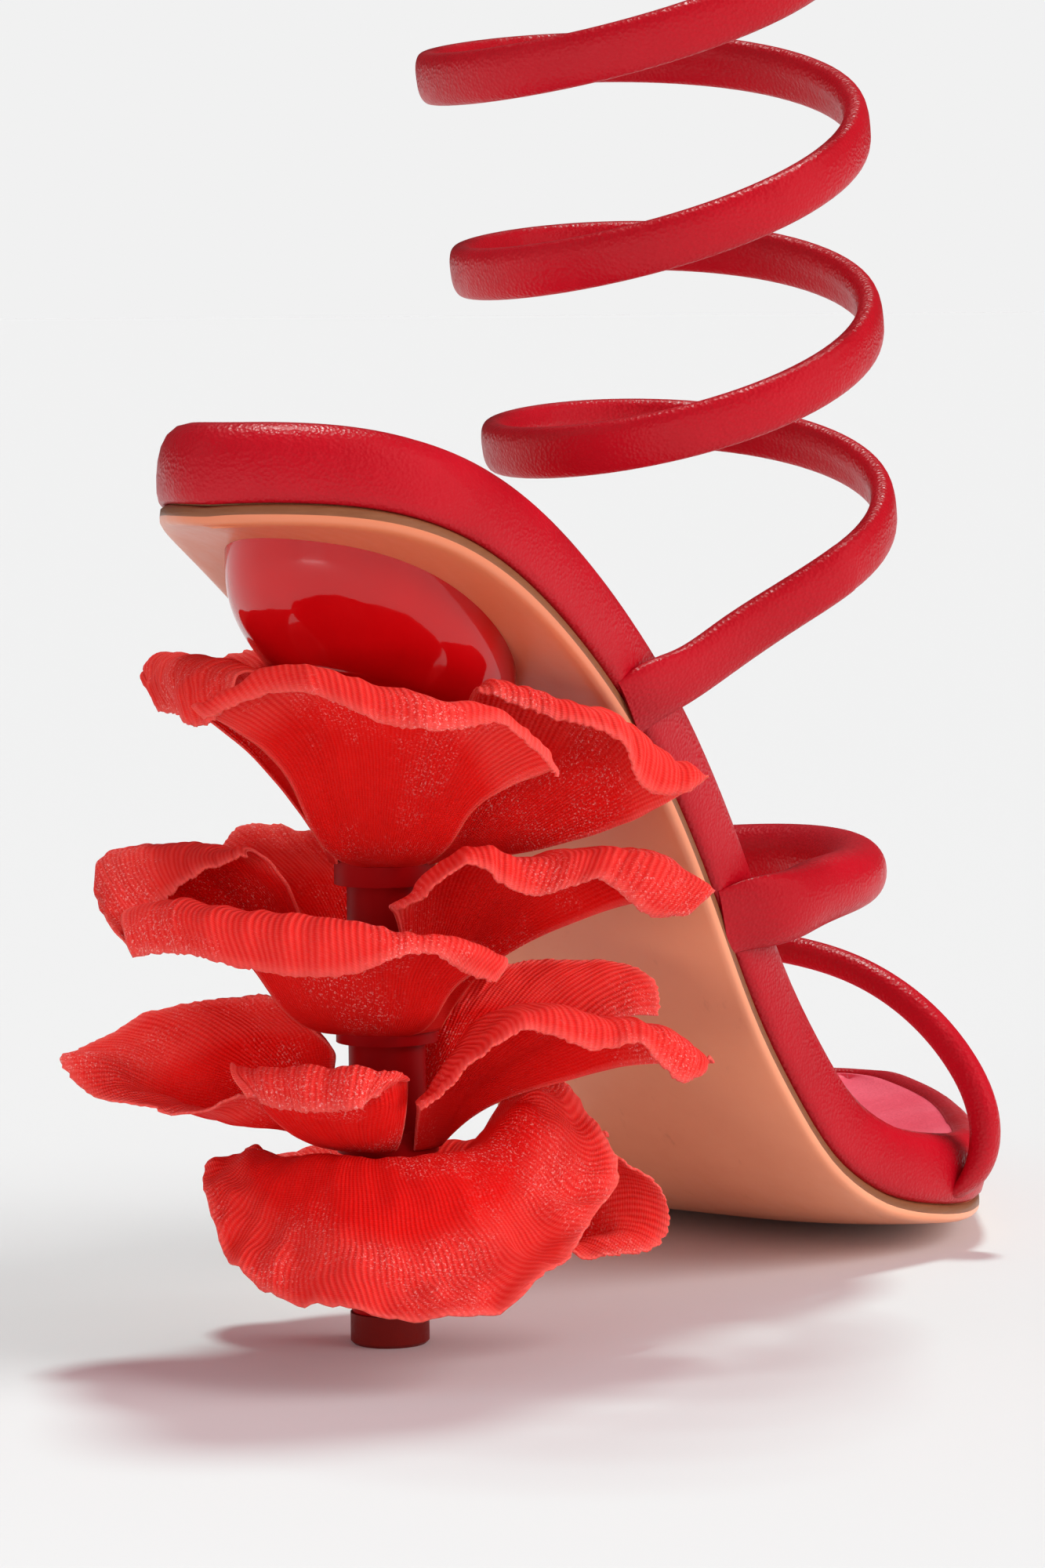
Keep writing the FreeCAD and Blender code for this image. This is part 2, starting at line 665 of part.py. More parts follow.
lead_end = coil_point(0.0)
lead_pull = LEAD_PULL * (lead_end - LEAD_START).Length
lead_along = coil_tangent(0.0)
slope = math.radians(LEAD_SLOPE)
lead_curve = Part.BezierCurve()
lead_curve.setPoles([LEAD_START, LEAD_START + Vector(math.cos(slope), 0, math.sin(slope)) * lead_pull,
                     lead_end - lead_along * (lead_pull + dim("lead_gap")),
                     lead_end - lead_along * dim("lead_gap")])
lead_path = Part.Wire([lead_curve.toShape()])
cored_strap("ankle_strap_root", "memory_wire_root", lead_path, COIL_AXIS,
            strap_half_width, strap_half_depth, dim("wire_radius"))


# ------------------------------------------------------------------ check and write

doc.recompute()
for item in doc.Objects:
    if "Invalid" in item.State or "Error" in item.State:
        raise RuntimeError("%s failed: %s" % (item.Label, item.State))
for node in NODES:
    if node.Shape.isNull() or not node.Shape.isValid() or node.Shape.Volume <= 0:
        raise RuntimeError("%s has no valid shape" % node.Label)
for node in NODES:
    node.Shape.exportStep("parts/%s.step" % node.Label)
print("coil axis", COIL_AXIS, "start", coil_point(0.0))
print(len(NODES), "nodes written")
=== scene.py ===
import json
import math

import bpy
import numpy as np
from mathutils import Matrix, Vector, noise


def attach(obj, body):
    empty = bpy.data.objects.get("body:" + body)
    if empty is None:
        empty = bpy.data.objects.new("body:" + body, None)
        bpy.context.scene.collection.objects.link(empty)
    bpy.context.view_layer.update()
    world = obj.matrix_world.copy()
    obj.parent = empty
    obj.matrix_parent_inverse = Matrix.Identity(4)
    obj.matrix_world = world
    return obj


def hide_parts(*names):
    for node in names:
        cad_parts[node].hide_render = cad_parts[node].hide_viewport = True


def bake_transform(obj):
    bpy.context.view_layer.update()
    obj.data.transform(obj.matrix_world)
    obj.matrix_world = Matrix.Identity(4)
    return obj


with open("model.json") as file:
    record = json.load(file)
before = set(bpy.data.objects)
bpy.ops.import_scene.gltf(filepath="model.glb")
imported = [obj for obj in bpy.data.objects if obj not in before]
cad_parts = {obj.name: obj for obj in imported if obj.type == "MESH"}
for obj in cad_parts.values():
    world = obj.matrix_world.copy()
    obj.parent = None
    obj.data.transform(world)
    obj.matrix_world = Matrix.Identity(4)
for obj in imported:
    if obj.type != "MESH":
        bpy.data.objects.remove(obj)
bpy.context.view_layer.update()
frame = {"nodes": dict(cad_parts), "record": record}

MM = 0.001

# ---------- camera, light and floor

CAMERA_AZIMUTH = math.radians(-55.63)
CAMERA_ELEVATION = math.radians(5.12)
CAMERA_ROLL = math.radians(-0.53)
CAMERA_DISTANCE = 0.6838
CAMERA_AIM_SIDE = 0.0174
CAMERA_AIM_HEIGHT = 0.0708
CAMERA_LENS = 125.06
SENSOR_HEIGHT = 36.0

SIDE_AXIS = Vector((math.cos(CAMERA_AZIMUTH), math.sin(CAMERA_AZIMUTH), 0.0))
FRONT_AXIS = Vector((math.sin(CAMERA_AZIMUTH), -math.cos(CAMERA_AZIMUTH), 0.0))

# A colour mix node's two colour inputs and its colour output.
COLOR_A, COLOR_B, COLOR_OUT = 6, 7, 2

BACKDROP = (0.88, 0.88, 0.88, 1)
FILL = (0.47, 0.29, 0.315, 1)
DARK_STUDIO = (0.06, 0.06, 0.06, 1)
FLOOR_REACH = 30.0
# Together with the fill and the suns, this makes the floor as bright as the backdrop.
FLOOR_ALBEDO = 0.678
WHITE = (1, 1, 1)
# Name, direction to the light (picture's right, towards the camera, up), strength, width in degrees, colour,
# and whether it glints.
SUNS = [
    ("key", (0.05, -0.30, 1.0), 2.03, 10, (0.709, 1.0, 0.96), True),
    ("front_fill", (0.1, 1.0, 0.22), 0.2, 60, WHITE, False),
    ("right_fill", (1.0, 0.2, 0.45), 2.8, 50, WHITE, False),
    ("left_fill", (-1.0, 0.3, 0.5), 0.12, 35, WHITE, True),
]
LOW_LIGHT_PLACE = (-0.35, 0.70, 0.04)
LOW_LIGHT_AIM = (0.04, 0, 0.03)
LOW_LIGHT_SIZE = 0.30
LOW_LIGHT_POWER = 2.6


def make_camera():
    """A long lens three quarters from behind the shoe, a little above the floor."""
    level = math.cos(CAMERA_ELEVATION)
    back = Vector((FRONT_AXIS.x * level, FRONT_AXIS.y * level, math.sin(CAMERA_ELEVATION)))
    up = back.cross(SIDE_AXIS)
    right = SIDE_AXIS * math.cos(CAMERA_ROLL) + up * math.sin(CAMERA_ROLL)
    rolled_up = up * math.cos(CAMERA_ROLL) - SIDE_AXIS * math.sin(CAMERA_ROLL)
    aim = SIDE_AXIS * CAMERA_AIM_SIDE + Vector((0, 0, CAMERA_AIM_HEIGHT))
    data = bpy.data.cameras.new("camera")
    data.sensor_fit = "VERTICAL"
    data.sensor_height = SENSOR_HEIGHT
    data.lens = CAMERA_LENS
    data.clip_start = 0.01
    camera = bpy.data.objects.new("camera", data)
    turn = Matrix((right, rolled_up, back)).transposed().to_4x4()
    camera.matrix_world = Matrix.Translation(aim + back * CAMERA_DISTANCE) @ turn
    bpy.context.collection.objects.link(camera)
    bpy.context.scene.camera = camera


def in_view(side, front, height):
    """A place given from the middle of the stem: to the picture's right, towards the camera, up."""
    return SIDE_AXIS * side + FRONT_AXIS * front + Vector((0, 0, height))


def plug(tree, socket, value):
    """Link a socket to another node's output, or give it a value of its own."""
    if hasattr(value, "is_linked"):
        tree.links.new(value, socket)
    else:
        socket.default_value = value


def make_world():
    """An even fill that the camera sees as the backdrop, and glossy surfaces as a dark studio."""
    world = bpy.data.worlds.new("studio")
    bpy.context.scene.world = world
    world.use_nodes = True
    tree = world.node_tree
    background = tree.nodes["Background"]
    path = tree.nodes.new("ShaderNodeLightPath")
    level = FILL
    for ray, value in (("Is Glossy Ray", DARK_STUDIO), ("Is Camera Ray", BACKDROP)):
        mix = tree.nodes.new("ShaderNodeMix")
        mix.data_type = "RGBA"
        plug(tree, mix.inputs[0], path.outputs[ray])
        plug(tree, mix.inputs[COLOR_A], level)
        plug(tree, mix.inputs[COLOR_B], value)
        level = mix.outputs[COLOR_OUT]
    plug(tree, background.inputs["Color"], level)


def add_lamp(data, energy, ahead, glints):
    """A lamp that shines along a direction."""
    data.energy = energy
    lamp = bpy.data.objects.new(data.name, data)
    lamp.rotation_euler = ahead.to_track_quat("-Z", "Y").to_euler()
    lamp.visible_glossy = glints
    bpy.context.collection.objects.link(lamp)
    return lamp


def make_lamps():
    """The suns, and a low disk light from the front left."""
    for name, direction, strength, width, color, glints in SUNS:
        data = bpy.data.lights.new(name, "SUN")
        data.angle = math.radians(width)
        data.color = color
        add_lamp(data, strength, -in_view(*direction), glints)
    data = bpy.data.lights.new("low_fill", "AREA")
    data.shape = "DISK"
    data.size = LOW_LIGHT_SIZE
    lamp_place = in_view(*LOW_LIGHT_PLACE)
    lamp = add_lamp(data, LOW_LIGHT_POWER, in_view(*LOW_LIGHT_AIM) - lamp_place, False)
    lamp.location = lamp_place
    lamp.visible_camera = False


def make_floor():
    mesh = bpy.data.meshes.new("floor")
    corners = [(x * FLOOR_REACH, y * FLOOR_REACH, 0) for x, y in ((-1, -1), (1, -1), (1, 1), (-1, 1))]
    mesh.from_pydata(corners, [], [(0, 1, 2, 3)])
    floor = bpy.data.objects.new("floor", mesh)
    bpy.context.collection.objects.link(floor)
    grey = (FLOOR_ALBEDO, FLOOR_ALBEDO, FLOOR_ALBEDO, 1)
    mesh.materials.append(Shader("floor_white", Base_Color=grey, Roughness=1, Specular_IOR_Level=0).material)


# ---------- materials

def srgb(red, green, blue):
    """A display colour, 0 to 255, as the linear colour a shader takes."""
    linear = []
    for value in (red, green, blue):
        share = value / 255
        linear.append(share / 12.92 if share <= 0.04045 else ((share + 0.055) / 1.055) ** 2.4)
    return (*linear, 1.0)


class Shader:
    """A material's node tree with one Principled shader, and short calls to add nodes to it."""

    def __init__(self, name, **constants):
        self.material = bpy.data.materials.new(name)
        self.material.use_nodes = True
        self.tree = self.material.node_tree
        self.surface = self.tree.nodes["Principled BSDF"]
        self.object_coords = self.add("ShaderNodeTexCoord").outputs["Object"]
        for socket, value in constants.items():
            self.surface.inputs[socket.replace("_", " ")].default_value = value

    def add(self, kind, inputs=(), **settings):
        node = self.tree.nodes.new(kind)
        for key, value in settings.items():
            setattr(node, key, value)
        for key, value in dict(inputs).items():
            plug(self.tree, node.inputs[key], value)
        return node

    def noise(self, scale, detail, roughness=0.5, coords=None):
        inputs = {"Vector": coords or self.object_coords, "Scale": scale, "Detail": detail,
                  "Roughness": roughness}
        return self.add("ShaderNodeTexNoise", inputs).outputs["Fac"]

    def streaks(self, scale, detail, roughness):
        """Noise scaled differently along each axis of the object."""
        inputs = {"Vector": self.object_coords, "Scale": scale}
        return self.noise(1, detail, roughness, self.add("ShaderNodeMapping", inputs).outputs["Vector"])

    def blend_range(self, value, low, high, to_low=0.0, to_high=1.0):
        """A value brought from one range to another, and held at its ends."""
        inputs = {"Value": value, "From Min": low, "From Max": high, "To Min": to_low, "To Max": to_high}
        return self.add("ShaderNodeMapRange", inputs).outputs["Result"]

    def mix(self, factor, first, second):
        """From the first colour to the second, by a factor."""
        inputs = {0: factor, COLOR_A: first, COLOR_B: second}
        return self.add("ShaderNodeMix", inputs, data_type="RGBA").outputs[COLOR_OUT]

    def math(self, operation, first, second=0.0):
        return self.add("ShaderNodeMath", {0: first, 1: second}, operation=operation).outputs[0]

    def wave(self, value, length):
        """A sine of a value, with its wavelength."""
        return self.math("SINE", self.math("MULTIPLY", value, 2 * math.pi / length))

    def drive(self, socket, value):
        self.tree.links.new(value, self.surface.inputs[socket])

    def bump(self, height, distance, strength, under=None):
        """A relief this deep in metres, over another relief if there is one."""
        inputs = {"Height": height, "Distance": distance, "Strength": strength}
        if under is not None:
            inputs["Normal"] = under
        return self.add("ShaderNodeBump", inputs).outputs["Normal"]


def leather(name, color, worn, roughness, grain=1.0):
    """Fine-grained dyed leather: pebbled bump, uneven dye and a soft coat."""
    shader = Shader(name, Coat_Weight=0.05, Coat_Roughness=0.25, Specular_IOR_Level=0.24)
    cloud = shader.noise(45, 4)
    fine = shader.noise(700, 5, 0.6)
    dye = shader.blend_range(cloud, 0.32, 0.68)
    speck = shader.blend_range(fine, 0.55, 0.8, 0.0, 0.35)
    shader.drive("Base Color", shader.mix(speck, shader.mix(dye, color, worn), worn))
    shader.drive("Roughness", shader.blend_range(fine, 0.3, 0.7, roughness - 0.06, roughness + 0.12))
    pebble = shader.add("ShaderNodeTexVoronoi", {"Vector": shader.object_coords, "Scale": 2100})
    crease = shader.streaks((160, 160, 700), 6, 0.6)
    base = shader.bump(cloud, 0.0004, 0.5)
    base = shader.bump(crease, 0.00006 * grain, 0.8, base)
    shader.drive("Normal", shader.bump(pebble.outputs["Distance"], 0.00009 * grain, 1.0, base))
    return shader.material


def sole_leather():
    """Smooth nude sole leather with a faint cloud and small scuffs, and painted light: paler towards the
    floor, darker up towards the heel seat.
    """
    shader = Shader("sole_nude", Coat_Weight=0.25, Coat_Roughness=0.22)
    cloud = shader.noise(28, 5, 0.6)
    scuff = shader.streaks((90, 420, 200), 8, 0.7)
    height = shader.add("ShaderNodeSeparateXYZ", {"Vector": shader.object_coords}).outputs["Z"]
    # Painted light: the sole is painted paler low down and darker high up, standing in for how light falls on
    # its underside.
    painted_light_tone = shader.mix(shader.blend_range(height, 0.0, 0.1), srgb(252, 172, 130), srgb(208, 122, 84))
    color = shader.mix(shader.blend_range(cloud, 0.3, 0.7, 0.0, 0.5), painted_light_tone, srgb(222, 130, 90))
    color = shader.mix(shader.blend_range(scuff, 0.62, 0.8, 0, 0.4), color, srgb(176, 104, 76))
    shader.drive("Base Color", color)
    shader.drive("Roughness", shader.blend_range(scuff, 0.3, 0.75, 0.30, 0.46))
    shader.drive("Normal", shader.bump(shader.noise(520, 4), 0.00006, 0.7))
    return shader.material


def edge_dye():
    """Brown burnished edge of the sole."""
    shader = Shader("sole_edge", Coat_Weight=0.2, Coat_Roughness=0.3)
    streak = shader.streaks((300, 300, 2200), 6, 0.7)
    shader.drive("Base Color", shader.mix(streak, srgb(112, 64, 38), srgb(146, 92, 58)))
    shader.drive("Roughness", shader.blend_range(streak, 0.3, 0.7, 0.35, 0.55))
    shader.drive("Normal", shader.bump(streak, 0.0001, 0.8))
    return shader.material


def lacquer(name, color, deep, roughness, gloss):
    """Poured lacquer with a little ripple."""
    shader = Shader(name, Specular_IOR_Level=gloss)
    ripple = shader.noise(60, 2)
    shader.drive("Base Color", shader.mix(shader.blend_range(ripple, 0.3, 0.7), color, deep))
    haze = shader.noise(240, 4)
    shader.drive("Roughness", shader.blend_range(haze, 0.3, 0.7, roughness, roughness + 0.07))
    shader.drive("Normal", shader.bump(ripple, 0.0002, 0.25))
    return shader.material


# In millimetres over the cloth.
RIB_PITCH = 0.52
THREAD_PITCH = RIB_PITCH * 0.6


def petal_cloth():
    """Stiffened ribbed cloth: fine ribs along the petal, paler frayed edges, folded lips painted lighter as a
    highlight, and sheer glints painted into the colour as near-white spots.
    """
    shader = Shader("petal_cloth", Specular_IOR_Level=0.06, Subsurface_Weight=0.5, Subsurface_Scale=0.0015)
    place = shader.add("ShaderNodeUVMap", uv_map="cloth").outputs["UV"]
    split = shader.add("ShaderNodeSeparateXYZ", {"Vector": place})
    edge = shader.add("ShaderNodeAttribute", attribute_name="rim").outputs["Fac"]
    lip = shader.add("ShaderNodeAttribute", attribute_name="lip").outputs["Fac"]
    wander = shader.math("MULTIPLY", shader.noise(50, 2), 2.2)
    across = shader.math("ADD", split.outputs["X"], wander)
    rib = shader.math("MULTIPLY", shader.wave(across, RIB_PITCH), 0.75)
    thread = shader.math("MULTIPLY", shader.wave(split.outputs["Y"], THREAD_PITCH), 0.25)
    weave = shader.math("ADD", rib, thread)
    cloud = shader.blend_range(shader.noise(85, 4), 0.3, 0.7)
    color = shader.mix(cloud, srgb(214, 11, 11), srgb(230, 22, 19))
    # Paler rib crests: slightly everywhere as the weave's own tone, and much more on the folded lips as a
    # painted highlight.
    rib_tone_and_lip_highlight = shader.math("ADD", shader.math("MULTIPLY", lip, 0.34), 0.10)
    rib_tone_and_lip_highlight = shader.math("MULTIPLY", shader.blend_range(weave, -1, 1), rib_tone_and_lip_highlight)
    color = shader.mix(rib_tone_and_lip_highlight, color, srgb(252, 96, 88))
    # Painted highlight: the folded lips are painted lighter, as if lit.
    color = shader.mix(shader.math("MULTIPLY", lip, 0.16), color, srgb(250, 84, 76))
    color = shader.mix(shader.blend_range(edge, 0.0, 1.0, 0.0, 0.5), color, srgb(252, 112, 104))
    glint = shader.noise(3200, 3, 0.7)
    sheer = shader.blend_range(shader.noise(70, 3), 0.5, 0.62)
    painted_glint_and_gloss = shader.math("MULTIPLY", shader.blend_range(glint, 0.56, 0.66), sheer)
    # Painted glints: sparse spots painted towards near white; the same spots also get a lower roughness.
    color = shader.mix(shader.math("MULTIPLY", painted_glint_and_gloss, 0.6), color, srgb(255, 190, 184))
    shader.drive("Base Color", color)
    shader.drive("Roughness", shader.blend_range(painted_glint_and_gloss, 0, 1, 0.66, 0.32))
    base = shader.bump(shader.noise(260, 4), 0.0005, 0.45)
    shader.drive("Normal", shader.bump(weave, 0.00014, 0.8, base))
    return shader.material


def plain_metal():
    """Brushed steel."""
    shader = Shader("plain_steel", Metallic=1.0)
    brushed = shader.streaks((200, 200, 3000), 5, 0.7)
    shader.drive("Base Color", shader.mix(brushed, srgb(176, 178, 182), srgb(206, 207, 210)))
    shader.drive("Roughness", shader.blend_range(brushed, 0.3, 0.7, 0.25, 0.42))
    shader.drive("Normal", shader.bump(brushed, 0.00005, 0.6))
    return shader.material


def soft_core(name, color, dark, scale):
    """Foam, board or cord inside the padded pieces."""
    shader = Shader(name, Roughness=0.9)
    pores = shader.noise(scale, 5, 0.7)
    shader.drive("Base Color", shader.mix(pores, color, dark))
    shader.drive("Normal", shader.bump(pores, 0.0003, 0.8))
    return shader.material


def rubber():
    """Dull dark red rubber of the heel's tip."""
    shader = Shader("lift_rubber", Specular_IOR_Level=0.2)
    speck = shader.noise(900, 5, 0.7)
    shader.drive("Base Color", shader.mix(speck, srgb(92, 12, 8), srgb(112, 20, 14)))
    shader.drive("Roughness", shader.blend_range(speck, 0.3, 0.7, 0.4, 0.62))
    shader.drive("Normal", shader.bump(speck, 0.0001, 0.6))
    return shader.material


RED = leather("red_leather", srgb(168, 5, 22), srgb(182, 10, 29), 0.34)
INSOLE = leather("insole_leather", srgb(232, 78, 98), srgb(240, 100, 118), 0.42, 0.7)
SOLE = sole_leather()
EDGE = edge_dye()
GLOSS = lacquer("red_lacquer", srgb(196, 6, 14), srgb(180, 4, 10), 0.04, 0.5)
STEM_PLASTIC = lacquer("stem_lacquer", srgb(160, 4, 10), srgb(140, 2, 6), 0.5, 0.15)
PETAL = petal_cloth()
STEEL = plain_metal()
FOAM = soft_core("cushion_foam", srgb(240, 226, 204), srgb(226, 208, 180), 900)
BOARD = soft_core("fibre_board", srgb(176, 140, 98), srgb(150, 116, 78), 1400)
CORD = soft_core("filler_cord", srgb(238, 228, 214), srgb(216, 200, 182), 1800)
RUBBER = rubber()

SLOT_MATERIAL = {
    "red_leather": RED, "insole_leather": INSOLE, "sole_leather": SOLE, "fibre_board": BOARD,
    "cushion_foam": FOAM, "filler_cord": CORD, "red_lacquer": GLOSS, "red_plastic": STEM_PLASTIC,
    "petal_fabric": PETAL, "lift_rubber": RUBBER, "plain_steel": STEEL, "spring_wire": STEEL,
}


def dress_cad_nodes():
    """Give every CAD node the material of its slot."""
    for part in frame["record"]["subparts"]:
        mesh = frame["nodes"][part["node"]].data
        mesh.materials.clear()
        mesh.materials.append(SLOT_MATERIAL[part["material_slot"]])


# ---------- curves and meshes (mm)

def smooth(points, count, closed=False):
    """Points along the cubic spline through the given points, evenly spaced by chord length."""
    knots = np.array(points, float)
    if closed:
        knots = np.vstack([knots, knots[:1]])
    steps = np.linalg.norm(np.diff(knots, axis=0), axis=1)
    reach = np.concatenate([[0], np.cumsum(steps)])
    size = len(knots)
    left = np.eye(size)
    right = np.zeros_like(knots)
    for i in range(1, size - 1):
        left[i, i - 1:i + 2] = steps[i - 1], 2 * (steps[i - 1] + steps[i]), steps[i]
        right[i] = 6 * ((knots[i + 1] - knots[i]) / steps[i] - (knots[i] - knots[i - 1]) / steps[i - 1])
    if closed:
        left[0, -1] = -1
        left[-1] = 0
        left[-1, 0], left[-1, 1] = 2 * steps[0], steps[0]
        left[-1, -2], left[-1, -1] = steps[-1], 2 * steps[-1]
        right[-1] = 6 * ((knots[1] - knots[0]) / steps[0] - (knots[-1] - knots[-2]) / steps[-1])
    bend = np.linalg.solve(left, right)
    places = np.linspace(0, reach[-1], count, endpoint=not closed)
    index = np.clip(np.searchsorted(reach, places, side="right") - 1, 0, size - 2)
    step = steps[index][:, None]
    after = (places - reach[index])[:, None] / step
    before = 1 - after
    curve = before * knots[index] + after * knots[index + 1]
    curve += step ** 2 / 6 * ((before ** 3 - before) * bend[index] + (after ** 3 - after) * bend[index + 1])
    return curve


def build(name, points, faces, material):
    """A smooth-shaded mesh object from points in millimetres."""
    mesh = bpy.data.meshes.new(name)
    mesh.from_pydata([tuple(point) for point in np.array(points, float) * MM], [], faces)
    mesh.materials.append(material)
    mesh.polygons.foreach_set("use_smooth", [True] * len(mesh.polygons))
    mesh.update()
    item = bpy.data.objects.new(name, mesh)
    bpy.context.collection.objects.link(item)
    return item


def ring_faces(rings, around, closed=False):
    """Quads between successive rings of the same number of points."""
    faces = []
    for ring in range(rings if closed else rings - 1):
        here, there = ring * around, (ring + 1) % rings * around
        for i in range(around):
            j = (i + 1) % around
            faces.append((here + i, here + j, there + j, there + i))
    return faces


def capped_tube(name, rings, material):
    """A closed tube through rings of points, its ends shut with their own flat faces."""
    around = len(rings[0])
    points = [point for ring in rings for point in ring]
    faces = ring_faces(len(rings), around)
    for ring, way in ((rings[0], -1), (rings[-1], 1)):
        start = len(points)
        points.extend(ring)
        faces.append(tuple(range(start, start + around))[::way])
    item = build(name, points, faces, material)
    for index in (-1, -2):
        item.data.polygons[index].use_smooth = False
    return item


def place(item, body, node, slot):
    """Let a piece ride on a body, in the stead of a CAD node."""
    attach(item, body)
    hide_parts(node)


# ---------- footbed

SEAT_HEIGHT = 106.4
SOLE_THICKNESS = 2.5
# Keeps the sole's bottom off the floor.
FLOOR_GAP = 0.05
# Share of the way up from the tread to the heel seat, along the shoe.
SIDE_STATIONS = [(-46, 1.007), (-27, 1.0), (-15, 0.965), (6, 0.848), (25.5, 0.697), (41, 0.515), (54, 0.313),
                 (61, 0.222), (69, 0.132), (79, 0.0645), (90.5, 0.026), (104, 0.0067), (118, 0.0)]
TREAD_START = 118.5
TREAD_END = 134.0
TOE_SPRING_RADIUS = 700.0
TOE_LIMIT = 172.0
PLAN_POINTS = [(-38, 0), (-32, -13), (-20, -21.5), (-4, -24.8), (16, -24.2), (38, -22.6), (60, -23.4),
               (80, -26.8), (99, -28.0), (116, -19.9), (131, -9.8), (146, 2), (158, 14.5), (165, 27),
               (161, 38), (147, 45.5), (127, 46.5), (107, 43), (86, 36), (64, 27), (38, 22.4), (16, 23.2),
               (-4, 22.4), (-19, 18.6), (-31, 11)]
# Rise of the footbed's outer edge over its middle, along the shoe.
CROWN_STATIONS = [(-40, 0.4), (-15, 0.6), (0, 0.6), (30, 0.8), (60, 0.5), (70, 0.5), (80, 0.9), (90, 1.8),
                  (104, 2.7), (120, 2.5), (140, 1.6), (166, 1.2)]
# For the rounded ends, where the sides meet.
MIN_HALF_WIDTH = 1.0
# Points along the footbed, round it and across it.
STATIONS = 150
AROUND = 2 * STATIONS - 2
ACROSS = 24


def side_profile():
    """Underside of the board in side view, as dense points with their upward normals."""
    rise = SEAT_HEIGHT - SOLE_THICKNESS
    curve = smooth([(x, SOLE_THICKNESS + rise * share) for x, share in SIDE_STATIONS], 700)
    flat = np.array([(x, SOLE_THICKNESS) for x in np.linspace(TREAD_START, TREAD_END, 30)])
    sweep = np.linspace(0.01, math.asin((TOE_LIMIT - TREAD_END) / TOE_SPRING_RADIUS), 60)
    toe = np.column_stack([TREAD_END + TOE_SPRING_RADIUS * np.sin(sweep),
                           SOLE_THICKNESS + TOE_SPRING_RADIUS * (1 - np.cos(sweep))])
    line = np.vstack([curve, flat, toe])
    line[:, 1] = np.maximum(line[:, 1], SOLE_THICKNESS + FLOOR_GAP)
    slope = np.gradient(line[:, 1], line[:, 0])
    length = np.sqrt(1 + slope ** 2)
    return line[:, 0], line[:, 1], -slope / length, 1 / length


SIDE_X, SIDE_Z, NORMAL_X, NORMAL_Z = side_profile()
PLAN = smooth(PLAN_POINTS, 1600, closed=True)


def outline_sides(inset):
    """The plan's outer and inner sides, each from heel to toe, after moving the outline inwards."""
    ahead = np.roll(PLAN, -1, axis=0) - np.roll(PLAN, 1, axis=0)
    ahead /= np.linalg.norm(ahead, axis=1)[:, None]
    moved = PLAN + np.column_stack([-ahead[:, 1], ahead[:, 0]]) * inset
    back, front = np.argmin(moved[:, 0]), np.argmax(moved[:, 0])
    moved = np.roll(moved, -back, axis=0)
    front = (front - back) % len(moved)
    return moved[:front + 1], np.vstack([moved[front:], moved[:1]])[::-1]


OUTER_BASE, INNER_BASE = outline_sides(0.0)


def crown_height(x):
    return np.interp(x, *np.array(CROWN_STATIONS, float).T)


def sole_point(x, y, offset):
    """A point over the board's underside, raised towards the footbed's outer edge."""
    low = np.interp(x, OUTER_BASE[:, 0], OUTER_BASE[:, 1])
    high = np.interp(x, INNER_BASE[:, 0], INNER_BASE[:, 1])
    middle, half = (low + high) / 2, max((high - low) / 2, MIN_HALF_WIDTH)
    share = min(abs(y - middle) / half, 1.0)
    lift = offset + (crown_height(x) * share ** 2 if y < middle else 0.0)
    return (x + np.interp(x, SIDE_X, NORMAL_X) * lift, y,
            np.interp(x, SIDE_X, SIDE_Z) + np.interp(x, SIDE_X, NORMAL_Z) * lift)


def sole_ring(inset, offset):
    """One closed ring round the footbed, its points closer together towards the rounded ends."""
    outer, inner = outline_sides(inset)
    turn = np.linspace(0, math.pi, STATIONS)
    xs = outer[0, 0] + (outer[-1, 0] - outer[0, 0]) * (1 - np.cos(turn)) / 2
    ring = [(x, np.interp(x, outer[:, 0], outer[:, 1])) for x in xs]
    ring += [(x, np.interp(x, inner[:, 0], inner[:, 1])) for x in xs[-2:0:-1]]
    return [sole_point(x, y, offset) for x, y in ring]


def sole_sheet(inset, offset):
    """A sheet over the footbed's plan: a ring, then rows between its two sides."""
    points, faces, rows = sole_ring(inset, offset), [], []
    for i in range(1, STATIONS - 1):
        low, high = np.array(points[i]), np.array(points[AROUND - i])
        row = [i]
        for k in range(1, ACROSS):
            row.append(len(points))
            points.append(sheet_point(low, high, k / ACROSS, offset))
        rows.append(row + [AROUND - i])
    for row, after in zip(rows, rows[1:]):
        for k in range(ACROSS):
            faces.append((row[k], after[k], after[k + 1], row[k + 1]))
    for k in range(ACROSS):
        faces.append((0, rows[0][k], rows[0][k + 1]))
        faces.append((STATIONS - 1, rows[-1][k + 1], rows[-1][k]))
    return points, faces


def sheet_point(low, high, share, offset):
    """A point between two edge points, sunk from their straight line to the crown's curve."""
    straight = low + (high - low) * share
    x = straight[0] - np.interp(straight[0], SIDE_X, NORMAL_X) * offset
    sink = crown_height(x) * (1 - share - max(1 - 2 * share, 0.0) ** 2)
    normal = np.array([np.interp(x, SIDE_X, NORMAL_X), 0, np.interp(x, SIDE_X, NORMAL_Z)])
    return tuple(straight - normal * sink)


def footbed_solid(name, profile, material):
    """A closed layer of the footbed: bottom sheet, rings up its edge, top sheet."""
    points, faces = sole_sheet(*profile[0])
    faces = [tuple(reversed(face)) for face in faces]
    top_points, top_faces = sole_sheet(*profile[-1])
    below = 0
    for ring in [sole_ring(*level) for level in profile[1:-1]] + [top_points]:
        here = len(points)
        points.extend(ring)
        for i in range(AROUND):
            j = (i + 1) % AROUND
            faces.append((below + i, below + j, here + j, here + i))
        below = here
    faces += [tuple(below + index for index in face) for face in top_faces]
    return build(name, points, faces, material)


